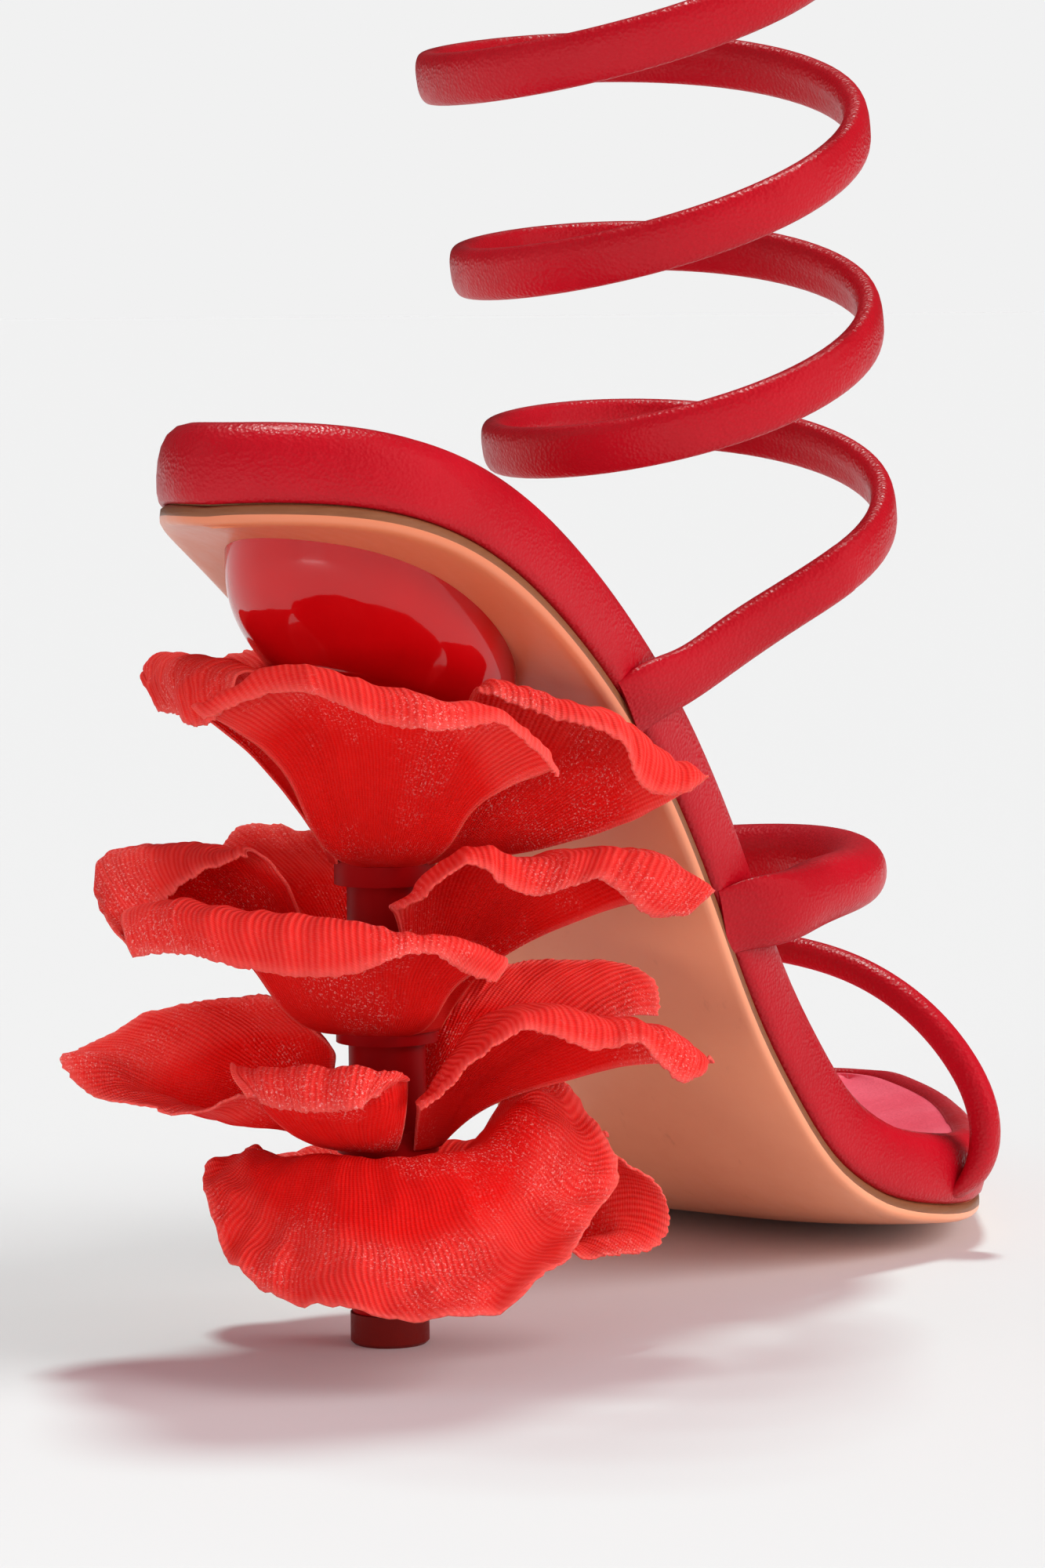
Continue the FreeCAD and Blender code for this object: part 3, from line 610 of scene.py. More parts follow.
# Each layer's edge, from bottom to top: how far inside the plan, and how far over the board's underside.
OUTSOLE_PROFILE = [(2.4, -2.5), (1.4, -2.46), (0.8, -2.25), (0.5, -1.85), (0.42, -1.3), (0.45, -0.4),
                   (0.9, -0.02)]
EDGE_FIRST_RING = 4
BOARD_PROFILE = [(1.4, 0.0), (1.2, 1.1), (1.4, 2.1)]
CUSHION_PROFILE = [(1.9, 2.2), (1.3, 4.0), (1.3, 6.5), (2.2, 8.2), (3.6, 8.7)]
SOCK_PROFILE = [(4.6, 8.75), (4.4, 9.2), (4.7, 9.5), (5.6, 9.6)]
RIM_PROFILE = [(1.7, 0.1), (0.7, 0.15), (0.15, 0.6), (-0.15, 1.6), (-0.3, 3.4), (-0.25, 5.4), (0.05, 7.1),
               (0.65, 8.5), (1.7, 9.55), (3.0, 9.95), (4.2, 9.85), (4.6, 9.3), (4.3, 8.9), (3.2, 8.9),
               (1.9, 8.1), (1.25, 6.5), (1.25, 3.5), (1.45, 1.2)]


def dye_edge(outsole):
    """Give the upper part of the outsole's edge its brown dye."""
    outsole.data.materials.append(EDGE)
    sheet_faces = (STATIONS - 1) * ACROSS
    for index in range(EDGE_FIRST_RING * AROUND, (len(OUTSOLE_PROFILE) - 1) * AROUND):
        outsole.data.polygons[sheet_faces + index].material_index = 1


def make_footbed():
    """The footbed's layers, and the leather rim round them."""
    outsole = footbed_solid("outsole_leather", OUTSOLE_PROFILE, SOLE)
    dye_edge(outsole)
    place(outsole, "root", "outsole", "sole_leather")
    board = footbed_solid("board_core", BOARD_PROFILE, BOARD)
    place(board, "root", "insole_board", "fibre_board")
    cushion = footbed_solid("footbed_cushion", CUSHION_PROFILE, FOAM)
    place(cushion, "root", "footbed_foam", "cushion_foam")
    sock = footbed_solid("sock_leather", SOCK_PROFILE, INSOLE)
    place(sock, "root", "sock_lining", "insole_leather")
    points = [point for level in RIM_PROFILE for point in sole_ring(*level)]
    rim = build("rim_leather", points, ring_faces(len(RIM_PROFILE), AROUND, closed=True), RED)
    place(rim, "root", "footbed_rim", "red_leather")


# ---------- heel

STEM_RADIUS = 4.85
STEM_FOOT = 4.05
STEM_FOOT_BEVEL = (0.96, 0.3)
STEM_HEIGHTS = (20, 35, 50)
STEM_TOP = 62.0
STEM_SATIN_TOP = 70.0
CUP_CENTRE = -1.0
CUP_HALF_LENGTH = 21.0
CUP_HALF_WIDTH = 16.7
# Share of the way up from the stem to the sole, and out from the stem to the cup's outline on the sole.
CUP_PROFILE = [(0, 0), (0.29, 0.02), (0.44, 0.13), (0.54, 0.33), (0.60, 0.565), (0.675, 0.73), (0.785, 0.91),
               (0.88, 0.985), (1, 1)]
CUP_AROUND = 120
CUP_RINGS = 50
CUP_GAP = 0.05


def make_heel():
    """A poured glossy cup under the heel seat, narrowing into the slim stem."""
    turns = [2 * math.pi * i / CUP_AROUND for i in range(CUP_AROUND)]
    ways = [(math.cos(turn), math.sin(turn)) for turn in turns]
    round_ring = np.array([(x, y, 0) for x, y in ways]) * STEM_RADIUS
    brim = np.array([sole_point(CUP_CENTRE + CUP_HALF_LENGTH * x, CUP_HALF_WIDTH * y,
                                -SOLE_THICKNESS - CUP_GAP) for x, y in ways])
    narrow, bevel = STEM_FOOT_BEVEL
    rings = [round_ring * (narrow, narrow, 1) + (0, 0, STEM_FOOT)]
    rings += [round_ring + (0, 0, height) for height in (STEM_FOOT + bevel, *STEM_HEIGHTS)]
    for up, out in smooth(CUP_PROFILE, CUP_RINGS):
        ring = round_ring + (brim - round_ring) * (out, out, 0)
        ring[:, 2] = STEM_TOP + (brim[:, 2] - STEM_TOP) * up
        rings.append(ring)
    heel = capped_tube("heel_cup_and_stem", [list(ring) for ring in rings], GLOSS)
    heel.data.materials.append(STEM_PLASTIC)
    for face in heel.data.polygons:
        if face.center.z < STEM_SATIN_TOP * MM:
            face.material_index = 1
    place(heel, "root", "heel_shell", "red_lacquer")


# ---------- straps

# How much a turn or a change of width counts as distance along a strap.
TWIST_WEIGHT = 0.02


def strap_rings(stations, count, section):
    """Rings along a strap. A station is (point, width direction, half width, half thickness)."""
    table = np.array([[*point, *wide, width, depth] for point, wide, width, depth in stations])
    reach = np.linalg.norm(np.diff(table[:, :3], axis=0), axis=1)
    weights = np.ones(8)
    weights[3:] = np.mean(reach) * TWIST_WEIGHT
    line = smooth(table * weights, count) / weights
    aheads = np.gradient(line[:, :3], axis=0)
    aheads /= np.linalg.norm(aheads, axis=1)[:, None]
    rings = []
    for row, ahead in zip(line, aheads):
        point, wide, width, depth = row[:3], row[3:6], row[6], row[7]
        wide = wide - ahead * np.dot(wide, ahead)
        wide /= np.linalg.norm(wide)
        out = np.cross(ahead, wide)
        rings.append([point + wide * u * width + out * v * depth for u, v in section])
    return rings


def oval_section(count, squareness=2.0):
    """Unit section: a superellipse."""
    section = []
    power = 2 / squareness
    for i in range(count):
        turn = 2 * math.pi * i / count
        c, s = math.cos(turn), math.sin(turn)
        section.append((math.copysign(abs(c) ** power, c), math.copysign(abs(s) ** power, s)))
    return section


def seamed_section():
    """Ankle strap section: gently domed outside, a lapped seam along the inside."""
    section = []
    for u, v in oval_section(44, 2.7):
        if v < 0:
            lap = 1 / (1 + math.exp(-u * 22))
            v = v * (0.80 + 0.22 * lap) + 0.10 * math.exp(-((u + 0.03) / 0.07) ** 2)
        section.append((u, v))
    return section


COIL_RADIUS = 24.4
COIL_GROWTH = 1.0
COIL_PITCH = 25.5
COIL_LEAN = math.radians(15.3)
COIL_TILT = math.radians(2.1)
COIL_START = math.radians(262.0)
COIL_ORIGIN = Vector((56.6, -13.7, 80.7))
# The lowest turn sits a little high on its inner side: where, over how many turns, and by how much.
LOW_TURN = 0.62
LOW_TURN_SPREAD = 0.3
LOW_TURN_LIFT = 1.8
HALF_TURNS = 8
RINGS_PER_HALF_TURN = 40
# Half width and half depth.
STRAP_SIZE = (3.35, 1.65)
WIRE_SIZE = (0.8, 0.8)
STRAP_SECTION = seamed_section()
WIRE_SECTION = oval_section(12)
PUFFY_SECTION = oval_section(40, 2.15)
CORD_SECTION = oval_section(14)
COIL_FRAME = Matrix.Rotation(-COIL_LEAN, 3, "Y") @ Matrix.Rotation(COIL_TILT, 3, "X")
COIL_AXIS = COIL_FRAME @ Vector((0, 0, 1))


def coil_angle(turns):
    return COIL_START + 2 * math.pi * turns


def coil_point(turns):
    """The middle of the ankle strap, after a number of turns."""
    angle = coil_angle(turns)
    radius = COIL_RADIUS + COIL_GROWTH * turns
    rise = COIL_PITCH * angle / (2 * math.pi)
    rise += LOW_TURN_LIFT * math.exp(-((turns - LOW_TURN) / LOW_TURN_SPREAD) ** 2)
    return COIL_ORIGIN + COIL_FRAME @ Vector((radius * math.cos(angle), radius * math.sin(angle), rise))


def coil_ring(turns, section, size, centre=None):
    """A ring of the spiral, at its own place or round another centre."""
    width, depth = size
    angle = coil_angle(turns)
    out = COIL_FRAME @ Vector((math.cos(angle), math.sin(angle), 0))
    point = coil_point(turns) if centre is None else centre
    return [point + COIL_AXIS * u * width + out * v * depth for u, v in section]


def make_coil():
    """The spiral's half turns, each starting where the last ends, with the wire inside; only the last half
    turn rides on its body.
    """
    covers = (("ankle_wrap_%d", RED, STRAP_SECTION, STRAP_SIZE, "ankle_strap_%d", "red_leather"),
              ("wrap_wire_%d", STEEL, WIRE_SECTION, WIRE_SIZE, "memory_wire_%d", "spring_wire"))
    for half in range(1, HALF_TURNS + 1):
        first, last = (half - 1) / 2, half / 2
        steps = [first + 0.5 * i / RINGS_PER_HALF_TURN for i in range(RINGS_PER_HALF_TURN + 1)]
        for name, material, section, size, node, slot in covers:
            item = capped_tube(name % half, [coil_ring(turns, section, size) for turns in steps], material)
            if half < HALF_TURNS:
                coil_point(first) * MM
                coil_point(last) * MM
                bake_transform(item)
            else:
                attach(item, "wrap_%d" % half)
            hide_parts(node % half)


# Distance outside the footbed's plan, and height over the board's underside.
RIM_CLIMB = [(-0.7, -0.4), (0.5, 0.6), (0.95, 2.6), (1.15, 5.2), (1.35, 7.6)]
RIM_UNDER, RIM_SIDE = 0, 2


def rim_places(x, side):
    """Places up the rim's outside at a distance along the shoe, from the sole's edge to the top."""
    outline = OUTER_BASE if side < 0 else INNER_BASE
    y = np.interp(x, outline[:, 0], outline[:, 1])
    return [np.array(sole_point(x, y + side * out, offset)) for out, offset in RIM_CLIMB]


LEAD_FOOT = 20.3
LEAD_RINGS, LEAD_WIRE_RINGS = 100, 60
# Room between the lead's last free ring and the spiral's first ring.
LEAD_END_GAP = 0.4


def lead_stations():
    """The ankle strap, from under the footbed's outer edge to just past the first half turn's start."""
    down = -np.array(COIL_AXIS)
    return [
        (rim_places(LEAD_FOOT, -1)[RIM_UNDER], (0.75, 0, -0.66), 4.7, 0.9),
        (rim_places(LEAD_FOOT + 0.6, -1)[RIM_SIDE], (0.75, 0, -0.66), 4.5, 1.35),
        ((27.0, -26.7, 83.4), (0.66, 0, -0.75), 3.9, 1.5),
        ((34.3, -30.1, 87.6), (0.48, 0.03, -0.88), 3.6, 1.6),
        ((41.4, -34.4, 92.2), (0.32, 0.03, -0.94), *STRAP_SIZE),
        (coil_point(0.0), down, *STRAP_SIZE),
        (coil_point(0.05), down, *STRAP_SIZE),
    ]


def lead_tube(name, stations, count, section, size, material):
    """A tube through the stations, up to the spiral's own first ring."""
    start = coil_point(0.0)
    ahead = (coil_point(0.002) - start).normalized()
    rings = []
    for ring in strap_rings(stations, count, [(-u, -v) for u, v in section]):
        if (Vector(np.mean(ring, axis=0)) - start).dot(ahead) < -LEAD_END_GAP:
            rings.append(ring)
    return capped_tube(name, rings + [coil_ring(0, section, size)], material)


def make_lead():
    """The ankle strap's first stretch, from the footbed into the spiral."""
    stations = lead_stations()
    core = [(point, wide, *WIRE_SIZE) for point, wide, _, _ in stations[2:]]
    strap = lead_tube("ankle_wrap_lead", stations, LEAD_RINGS, STRAP_SECTION, STRAP_SIZE, RED)
    wire = lead_tube("wrap_wire_lead", core, LEAD_WIRE_RINGS, WIRE_SECTION, WIRE_SIZE, STEEL)
    for item, node, slot in ((strap, "ankle_strap_root", "red_leather"),
                             (wire, "memory_wire_root", "spring_wire")):
        coil_point(0.0) * MM
        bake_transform(item)
        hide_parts(node)


TIP_LENGTH = 4.0
TIP_RINGS = 12
# Share of the quarter turn where the tip is cut off flat.
TIP_CUT = 0.985


def make_tip():
    """The spiral's rounded end."""
    turns = HALF_TURNS / 2
    point, ahead = coil_point(turns), (coil_point(turns) - coil_point(turns - 0.01)).normalized()
    width, depth = STRAP_SIZE
    rings = []
    for i in range(TIP_RINGS + 1):
        lean = math.pi / 2 * min(i / TIP_RINGS, TIP_CUT)
        size = (width * math.cos(lean), depth * math.cos(lean))
        rings.append(coil_ring(turns, STRAP_SECTION, size, point + ahead * TIP_LENGTH * math.sin(lean)))
    place(capped_tube("ankle_wrap_tip", rings, RED), "wrap_8", "ankle_strap_tip", "red_leather")


# Places along the toe strap's middle, with half its width and half its depth.
TOE_STRAP = [
    ((94.5, -26.8, 7.4), 1.9, 0.8), ((95.6, -29.4, 9.4), 2.4, 1.3), ((96.6, -31.2, 13.2), 2.3, 1.9),
    ((97.0, -31.0, 19.5), 2.2, 2.1), ((97.2, -27.4, 26.1), 2.1, 2.1), ((97.4, -20.2, 32.8), 2.05, 2.05),
    ((97.4, -10.6, 37.6), 2.0, 2.0), ((97.2, 0.5, 39.9), 2.0, 2.0), ((97.0, 13.0, 40.1), 2.0, 2.0),
    ((96.7, 25.0, 37.0), 2.0, 2.0), ((96.4, 35.3, 30.6), 2.05, 2.05), ((96.4, 41.8, 21.8), 2.1, 2.1),
    ((96.6, 43.6, 14.5), 2.6, 1.8), ((97.0, 41.4, 9.0), 3.2, 1.0), ((97.3, 38.5, 6.8), 3.4, 0.8),
]
INSTEP_FEET = 44.8
INSTEP_CENTRE = 66.5
INSTEP_REACH = 25.0
INSTEP_FAR_DROP = 1.6
INSTEP_HALF = 4.15
# Degrees round from straight ahead, and height.
INSTEP_ARC = [(-75, 53.4), (-50, 54.0), (-25, 54.3), (0, 54.0), (25, 53.2), (50, 52.2), (75, 51.3)]


def instep_route():
    """A band up each side of the rim, and a padded arc between them."""
    legs = []
    for side, drop in ((-1, 0), (1, INSTEP_FAR_DROP)):
        legs.append([
            (rim_places(INSTEP_FEET, side)[RIM_UNDER], (0.5, 0, -0.87), 4.8, 0.5),
            (rim_places(INSTEP_FEET + 0.4, side)[RIM_SIDE], (0.5, 0, -0.87), 5.0, 1.1),
            ((53.5, side * 25.4, 51.5 - drop), (0.34, 0, -0.94), 4.8, 2.3),
            ((61.5, side * 25.2, 52.5 - drop), (0.1, 0, -1), 4.5, 3.6),
        ])
    arc = []
    for degrees, height in INSTEP_ARC:
        turn = math.radians(degrees)
        point = (INSTEP_CENTRE + INSTEP_REACH * math.cos(turn), INSTEP_REACH * math.sin(turn), height)
        arc.append((point, (0, 0, -1), INSTEP_HALF, INSTEP_HALF))
    return legs[0] + arc + legs[1][::-1]


PUFFY_RINGS, CORD_RINGS = 170, 90
CORD_RADIUS = 1.4
# Half depth from which a padded strap has its filler cord.
CORD_FROM = 1.95


def puffy_strap(name, stations, node):
    """A padded leather tube over its filler cord, on the root."""
    strap = capped_tube(name, strap_rings(stations, PUFFY_RINGS, PUFFY_SECTION), RED)
    place(strap, "root", node, "red_leather")
    middle = [(point, wide, CORD_RADIUS, CORD_RADIUS) for point, wide, _, depth in stations
              if depth > CORD_FROM]
    cord = capped_tube(name + "_filler", strap_rings(middle, CORD_RINGS, CORD_SECTION), CORD)
    place(cord, "root", node + "_cord", "filler_cord")


def make_straps():
    """The toe strap, flattened where it tucks in beside the footbed, and the instep strap."""
    toe_route = [(point, (1, 0, 0), width, depth) for point, width, depth in TOE_STRAP]
    puffy_strap("toe_tube", toe_route, "toe_strap")
    puffy_strap("instep_tube", instep_route(), "instep_strap")


# ---------- petals

# Petal lines are in millimetres from the stem's axis: to the picture's right, towards the camera, up.
ROOT_RADIUS = 6.9
# Height of the petals' roots on each collar.
ROOT_HEIGHTS = (61.3, 40.1, 25.4, 16.4)
CLOTH_THICKNESS = 0.3
# Points across a petal's lines, then across and along its surface.
COLUMNS = 13
SURFACE_ACROSS = 120
SURFACE_ALONG = 70
# How far a folded lip rounds out and up between its fold and its edge, as a share of its length, and how
# deep the ruffles are. The broad petals' lips are wide, and slump instead.
LIP_SHARE = 0.45
PUFF, BROAD_PUFF = (0.22, 0.16), (0.06, -0.05)
RUFFLE, BROAD_RUFFLE = 0.65, 1.5
BROAD = ("petal_4_front",)
# An open petal's inner line: share of the way out to its edge, and up.
LEAF_OUT, LEAF_UP = 0.64, 0.8
# Width of the paler cut edge, and shares of the petal's rows where its lip starts and over which it fades in.
CUT_EDGE_WIDTH = 1.6
LIP_FROM, LIP_FADE = 0.62, 0.1

# How a petal climbs from its root to its fold: share of the way out, share of the way up.
BOWL = [(0, 0), (0.22, 0.08), (0.36, 0.26), (0.47, 0.52), (0.68, 0.80)]
DISH = [(0, 0), (0.26, 0.08), (0.50, 0.24), (0.70, 0.46), (0.87, 0.74)]
FLARE = [(0, 0), (0.18, 0.30), (0.38, 0.56), (0.58, 0.76), (0.80, 0.91)]
SPREAD = [(0, 0), (0.12, 0.34), (0.30, 0.62), (0.52, 0.82), (0.76, 0.95)]


def petal_rows(fold, edge, height, shape, gather, puff):
    """Rows of a petal from its root on the stem, up to the fold and over to the raw edge."""
    fold, edge = smooth(fold, COLUMNS), smooth(edge, COLUMNS)
    flat = fold * (1, 1, 0)
    out = flat / np.linalg.norm(flat, axis=1)[:, None]
    middle = out.sum(axis=0) / np.linalg.norm(out.sum(axis=0))
    up = np.array([[0, 0, 1.0]])
    rows = []
    for way_out, way_up in shape:
        drawn = gather * (1 - way_out) ** 1.5
        inward = out * (1 - drawn) + middle * drawn
        inward /= np.linalg.norm(inward, axis=1)[:, None]
        reach = ROOT_RADIUS + (np.linalg.norm(flat, axis=1)[:, None] - ROOT_RADIUS) * way_out
        rows.append(inward * reach + up * (height + (fold[:, 2:3] - height) * way_up))
    rows.append(fold)
    turn = edge - fold
    length = np.linalg.norm(turn, axis=1)[:, None]
    rows.append(fold + turn * LIP_SHARE + (out * puff[0] + up * puff[1]) * length)
    rows.append(edge)
    return np.array(rows)


def leaf(edge, height, hollow):
    """A line part of the way out to an unfolded petal's edge, for the fold's place."""
    edge = smooth(edge, COLUMNS)
    inner = edge * (LEAF_OUT, LEAF_OUT, 0)
    inner[:, 2] = height + (edge[:, 2] - height) * LEAF_UP - hollow
    return inner


def unit(vectors):
    return vectors / np.maximum(np.linalg.norm(vectors, axis=2), 1e-6)[:, :, None]


def ruffle_height(spot, across, along, seed, shift):
    """Relief of the ruffled cloth at a spot: broad and small waves, creases along it, and sharp pleats."""
    broad = noise.noise(spot * 0.11 + shift)
    small = noise.noise(spot * 0.32 + shift)
    crease = noise.noise(Vector((across * 9.0, along * 1.4, seed)))
    pleat = 1 - 2.6 * abs(noise.noise(Vector((across * 16.0, along * 2.2, seed * 2.7))))
    return 1.6 * broad + 0.6 * small + 0.9 * crease + 0.5 * pleat


def petal_surface(name, rows, seed, ruffle):
    """A thin ruffled sheet through a grid of rows, its last row frayed."""
    columns = [smooth(rows[:, i], SURFACE_ALONG) for i in range(COLUMNS)]
    grid = np.array([smooth(row, SURFACE_ACROSS) for row in zip(*columns)])
    ahead = np.gradient(grid, axis=0)
    normal = unit(np.cross(np.gradient(grid, axis=1), ahead))
    ahead = unit(ahead)
    shift = Vector((seed * 7.3, seed * 3.1, seed * 5.7))
    points = np.empty_like(grid)
    for k, i in np.ndindex(SURFACE_ALONG, SURFACE_ACROSS):
        spot = Vector(grid[k, i])
        along = k / (SURFACE_ALONG - 1)
        lift = ruffle * along ** 1.5 * ruffle_height(spot, i / SURFACE_ACROSS, along, seed, shift)
        points[k, i] = grid[k, i] + normal[k, i] * lift
        if k == SURFACE_ALONG - 1:
            fray = 0.35 * noise.noise(spot * 1.9 + shift) + 0.18 * noise.noise(spot * 5.0 + shift)
            points[k, i] += ahead[k, i] * fray
    faces = []
    for k, i in np.ndindex(SURFACE_ALONG - 1, SURFACE_ACROSS - 1):
        a = k * SURFACE_ACROSS + i
        faces.append((a, a + 1, a + SURFACE_ACROSS + 1, a + SURFACE_ACROSS))
    axes = np.array((SIDE_AXIS, FRONT_AXIS, (0, 0, 1)))
    item = build(name, points.reshape(-1, 3) @ axes, faces, PETAL)
    mark_cloth(item.data, grid)
    thick = item.modifiers.new("cloth_thickness", "SOLIDIFY")
    thick.thickness = CLOTH_THICKNESS * MM
    thick.offset = 0
    return item


def mark_cloth(mesh, grid):
    """Lay the cloth's own width and length over a petal, and mark its cut edges and its folded lip."""
    along, across = grid.shape[:2]
    widths = np.zeros((along, across))
    widths[:, 1:] = np.cumsum(np.linalg.norm(np.diff(grid, axis=1), axis=2), axis=1)
    lengths = np.zeros((along, across))
    lengths[1:] = np.cumsum(np.linalg.norm(np.diff(grid, axis=0), axis=2), axis=0)
    mean_width = widths[-1] / widths[-1, -1] * np.mean(widths[:, -1])
    cloth = mesh.uv_layers.new(name="cloth")
    for loop in mesh.loops:
        k, i = divmod(loop.vertex_index, across)
        cloth.data[loop.index].uv = (mean_width[i], lengths[k, i])
    rim = mesh.attributes.new("rim", "FLOAT", "POINT")
    far = lengths[-1] - lengths
    sides = np.minimum(mean_width, mean_width[-1] - mean_width)[None, :]
    near_cut = 1 - np.minimum(far, sides * 1.5 + 0.2) / CUT_EDGE_WIDTH
    rim.data.foreach_set("value", np.clip(near_cut, 0, 1).reshape(-1))
    lip = mesh.attributes.new("lip", "FLOAT", "POINT")
    share = np.linspace(0, 1, along)[:, None] * np.ones((1, across))
    lip.data.foreach_set("value", np.clip((share - LIP_FROM) / LIP_FADE, 0, 1).reshape(-1))


# Folded petals: name -> tier, shape, gather, cut width and length, fold, raw edge.
CUPPED = {
    "petal_1_front": (1, BOWL, 0.5, (34, 42), [
        (-22, 22, 82), (-17.5, 26, 84.5), (-13.5, 26, 86.5), (-7, 28, 87), (-1, 29, 85.5), (4.5, 30, 84.5),
        (10, 29, 83.5), (15, 27, 82), (18.5, 24, 78), (21, 20, 74)], [
        (-21, 27, 81.5), (-16, 30, 83.5), (-13, 31, 84.5), (-6.5, 34, 84.5), (-1, 35, 82), (4.5, 35, 80.5),
        (10, 34, 80.5), (15, 31, 81), (18, 27, 78), (21, 21, 73.5)]),
    "petal_1_left": (1, FLARE, 0.3, (26, 44), [
        (-14.5, 14, 85.5), (-18.5, 8, 87), (-22.5, 0, 87), (-25.5, -6, 87), (-28.5, -10, 85),
        (-29, -8, 82)], [
        (-17.5, 24, 83.5), (-22, 20, 80), (-24.5, 14, 80.5), (-26.5, 6, 80.5), (-28.5, -2, 81.5),
        (-29, -6, 81.5)]),
    "petal_1_right": (1, DISH, 0.4, (23, 40), [
        (11.5, 14, 82.5), (13.5, 12, 83.5), (18.5, 10, 82.5), (24, 8, 80.5), (29.5, 6, 78.5), (34.5, 4, 75),
        (40.5, 2, 71.5)], [
        (12, 17, 83), (16, 17, 82.5), (23, 15, 80), (29, 14, 77.5), (31, 12, 72.5), (35, 8, 70),
        (40.5, 3, 71.5)]),
    "petal_2_front": (2, BOWL, 0.4, (32, 40), [
        (-30.5, 19, 57.5), (-25, 24, 59), (-16.5, 28.5, 58.3), (-9, 30, 58), (-1, 30, 56.5), (6.5, 28, 55),
        (12, 24, 53), (14.5, 18, 50.5)], [
        (-29.5, 25, 52.5), (-24, 31, 53.5), (-16.5, 34, 52), (-9.5, 35, 51), (-2.5, 34, 51.5),
        (5, 32, 53.5), (10, 27, 50.5), (13.5, 22, 48.5)]),
    "petal_2_left": (2, FLARE, 0.3, (24, 46), [
        (-15.5, 10, 63), (-19.5, 4, 63), (-26, 0, 62.5), (-31, -2, 61.5), (-33, 3, 60), (-32.5, 13, 57.5)], [
        (-16.5, 14, 63), (-22.5, 16, 61.5), (-27.5, 18, 58.5), (-30, 20, 56), (-30.5, 23, 54),
        (-29.5, 25, 52.5)]),
    "petal_2_right": (2, SPREAD, 0.4, (28, 38), [
        (1, 16, 57), (4, 14, 59.5), (7.5, 12, 62.5), (13, 10, 62.5), (21, 8, 62.5), (29, 6, 63),
        (35, 4, 61.5), (41, 2, 57)], [
        (2, 18, 57), (6, 20, 59.5), (10, 20, 62.5), (15.5, 18, 59.5), (21.5, 16, 59), (27, 14, 60),
        (32.5, 12, 55.5), (38, 8, 55.5)]),
    "petal_3_front": (3, DISH, 0.2, (19, 32), [
        (-18.5, 20, 38.5), (-13, 24, 38.5), (-6, 26, 39), (-1.5, 26, 38.5), (2, 22, 37), (3, 16, 34)], [
        (-16.5, 24, 35), (-11.5, 28, 34), (-6, 30, 34), (-2, 30, 34.5), (-0.5, 27, 35.5), (1, 24, 36.5)]),
    "petal_3_right": (3, SPREAD, 0.4, (29, 35), [
        (4, 20, 33.5), (7.5, 18, 36.5), (11, 16, 40.5), (15, 14, 44), (21, 10, 43), (26.5, 8, 41.5),
        (32, 6, 41), (36.5, 4, 39), (40.5, 2, 36)], [
        (4.5, 22, 33), (8.5, 22, 36.5), (13, 22, 40.5), (18.5, 20, 43), (22.5, 18, 40.5), (26.5, 16, 39),
        (31.5, 14, 39.5), (36, 12, 35), (40.5, 4, 36)]),
    "petal_4_front": (4, FLARE, 0.2, (60, 33), [
        (-17, -2, 25), (-15.5, 4, 25.5), (-11, 9, 25), (-6, 12, 25.3), (0, 13.5, 25.3), (6, 13, 26),
        (11.5, 10, 27), (16.5, 4, 31), (18.5, -3, 32.5)], [
        (-18, -2, 24.5), (-21, 2, 25), (-23, 8, 21.5), (-21.5, 15, 18.5), (-20.5, 22, 15.5), (-15, 27, 14.5),
        (-11, 32, 11.5), (-5, 35, 11), (0.5, 36, 9.5), (6.5, 36, 9.5), (12, 34, 9.5), (17.5, 30, 12),
        (22.5, 22, 14), (25.5, 16, 18.5), (29, 8, 22), (26, 3, 28), (22.5, -2, 32.5), (18.5, -6, 33)]),
}
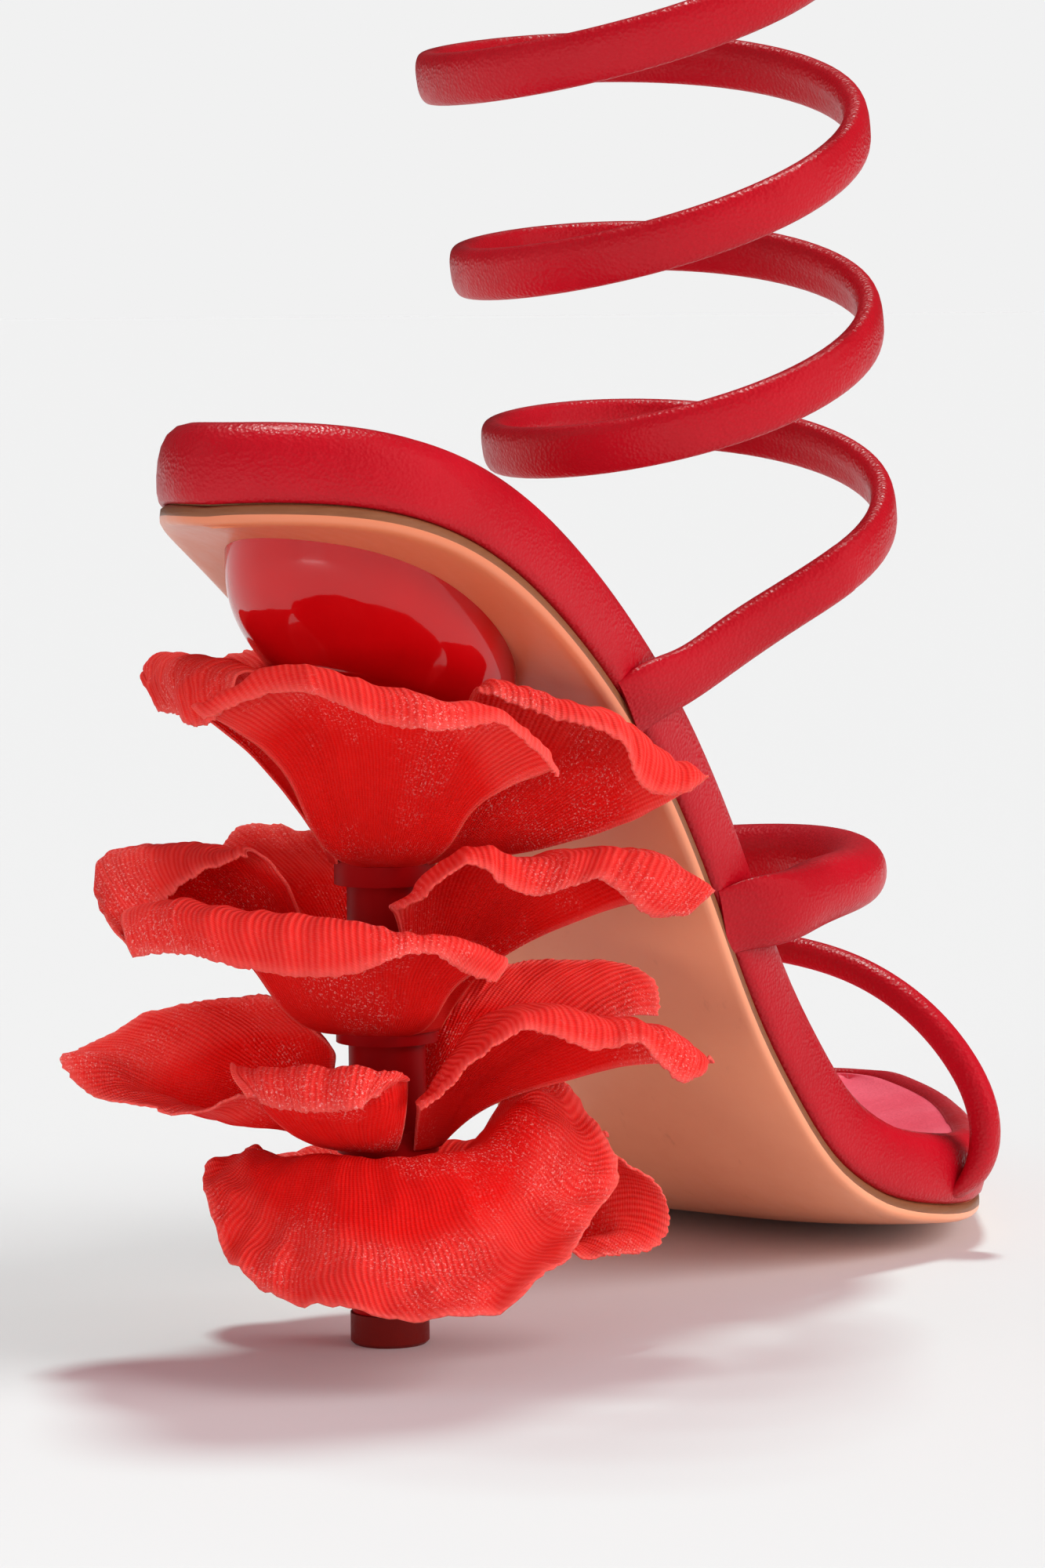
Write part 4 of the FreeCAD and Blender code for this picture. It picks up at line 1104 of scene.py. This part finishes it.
# Open petals: name -> tier, how far the middle hangs, cut width and length, raw edge.
OPEN = {
    "petal_1_inner": (1, 1.0, (27, 29), [
        (-12, -3, 70), (-14, -6, 73), (-17, -8, 74.5), (-20, -10, 77), (-23, -10, 79.5), (-24, -12, 83),
        (-20, -18, 86), (-10, -22, 86), (0, -22, 84)]),
    "petal_2_inner": (2, 1.0, (33, 29), [
        (-21.5, -10, 61.5), (-19.5, -14, 64), (-15.5, -18, 64.5), (-8, -21, 63), (0, -22, 60), (9, -20, 55),
        (15.5, -15, 52), (19, -14, 54.5), (24, -14, 55.5), (26, -13, 54)]),
    "petal_3_left": (3, 1.5, (35, 30), [
        (-10, 2, 41.5), (-14.5, -2, 44), (-20, -4, 43.5), (-26, -4, 43), (-32, -2, 41), (-36.5, 2, 39),
        (-40.5, 8, 37.5), (-38.5, 12, 35), (-35, 14, 33), (-30, 18, 33.5), (-26.5, 20, 32), (-22.5, 22, 33),
        (-17.5, 22, 35)]),
    "petal_3_inner": (3, 1.0, (28, 29), [
        (-8, -14, 42), (4, -16, 45), (14, -12, 46.5), (19, -14, 47), (24.5, -16, 46.5), (30, -18, 46),
        (33.5, -18, 44.5), (34.5, -14, 39.5)]),
    "petal_4_left": (4, 0.8, (18, 17), [
        (-9, 2, 18), (-14, 0, 17.5), (-18, -3, 17.5), (-21, -7, 18), (-22, -12, 18.5), (-20, -17, 19),
        (-15, -20, 19.5)]),
    "petal_4_right": (4, 0.8, (17, 27), [
        (29, 4, 24.5), (32, 2, 22), (34.5, 0, 19), (35.5, 0, 15.5), (34.5, 2, 13), (32, 6, 12.5),
        (26.5, 10, 12), (23, 14, 13.5)]),
    "petal_4_inner": (4, 0.8, (31, 25), [
        (-16, -19, 21), (-9, -24, 21), (0, -27, 21), (10, -26, 21.5), (18, -21, 22), (25, -14, 24),
        (28, -6, 25)]),
}


def make_petals():
    """Sixteen petals, four gathered on each collar."""
    for seed, name in enumerate(sorted([*CUPPED, *OPEN]), start=1):
        if name in CUPPED:
            tier, shape, gather, cut, fold, edge = CUPPED[name]
            height = ROOT_HEIGHTS[tier - 1]
        else:
            tier, hollow, cut, edge = OPEN[name]
            height = ROOT_HEIGHTS[tier - 1]
            shape, gather, fold = FLARE, 0.3, leaf(edge, height, hollow)
        puff, ruffle = (BROAD_PUFF, BROAD_RUFFLE) if name in BROAD else (PUFF, RUFFLE)
        rows = petal_rows(fold, edge, height, shape, gather, puff)
        petal = petal_surface(name + "_cloth", rows, seed, ruffle)
        place(petal, "root", name, "petal_fabric")


# ---------- make everything

make_camera()
make_world()
make_lamps()
bpy.context.scene.view_settings.view_transform = "Standard"
make_floor()
dress_cad_nodes()
make_footbed()
make_heel()
make_coil()
make_lead()
make_tip()
make_straps()
make_petals()
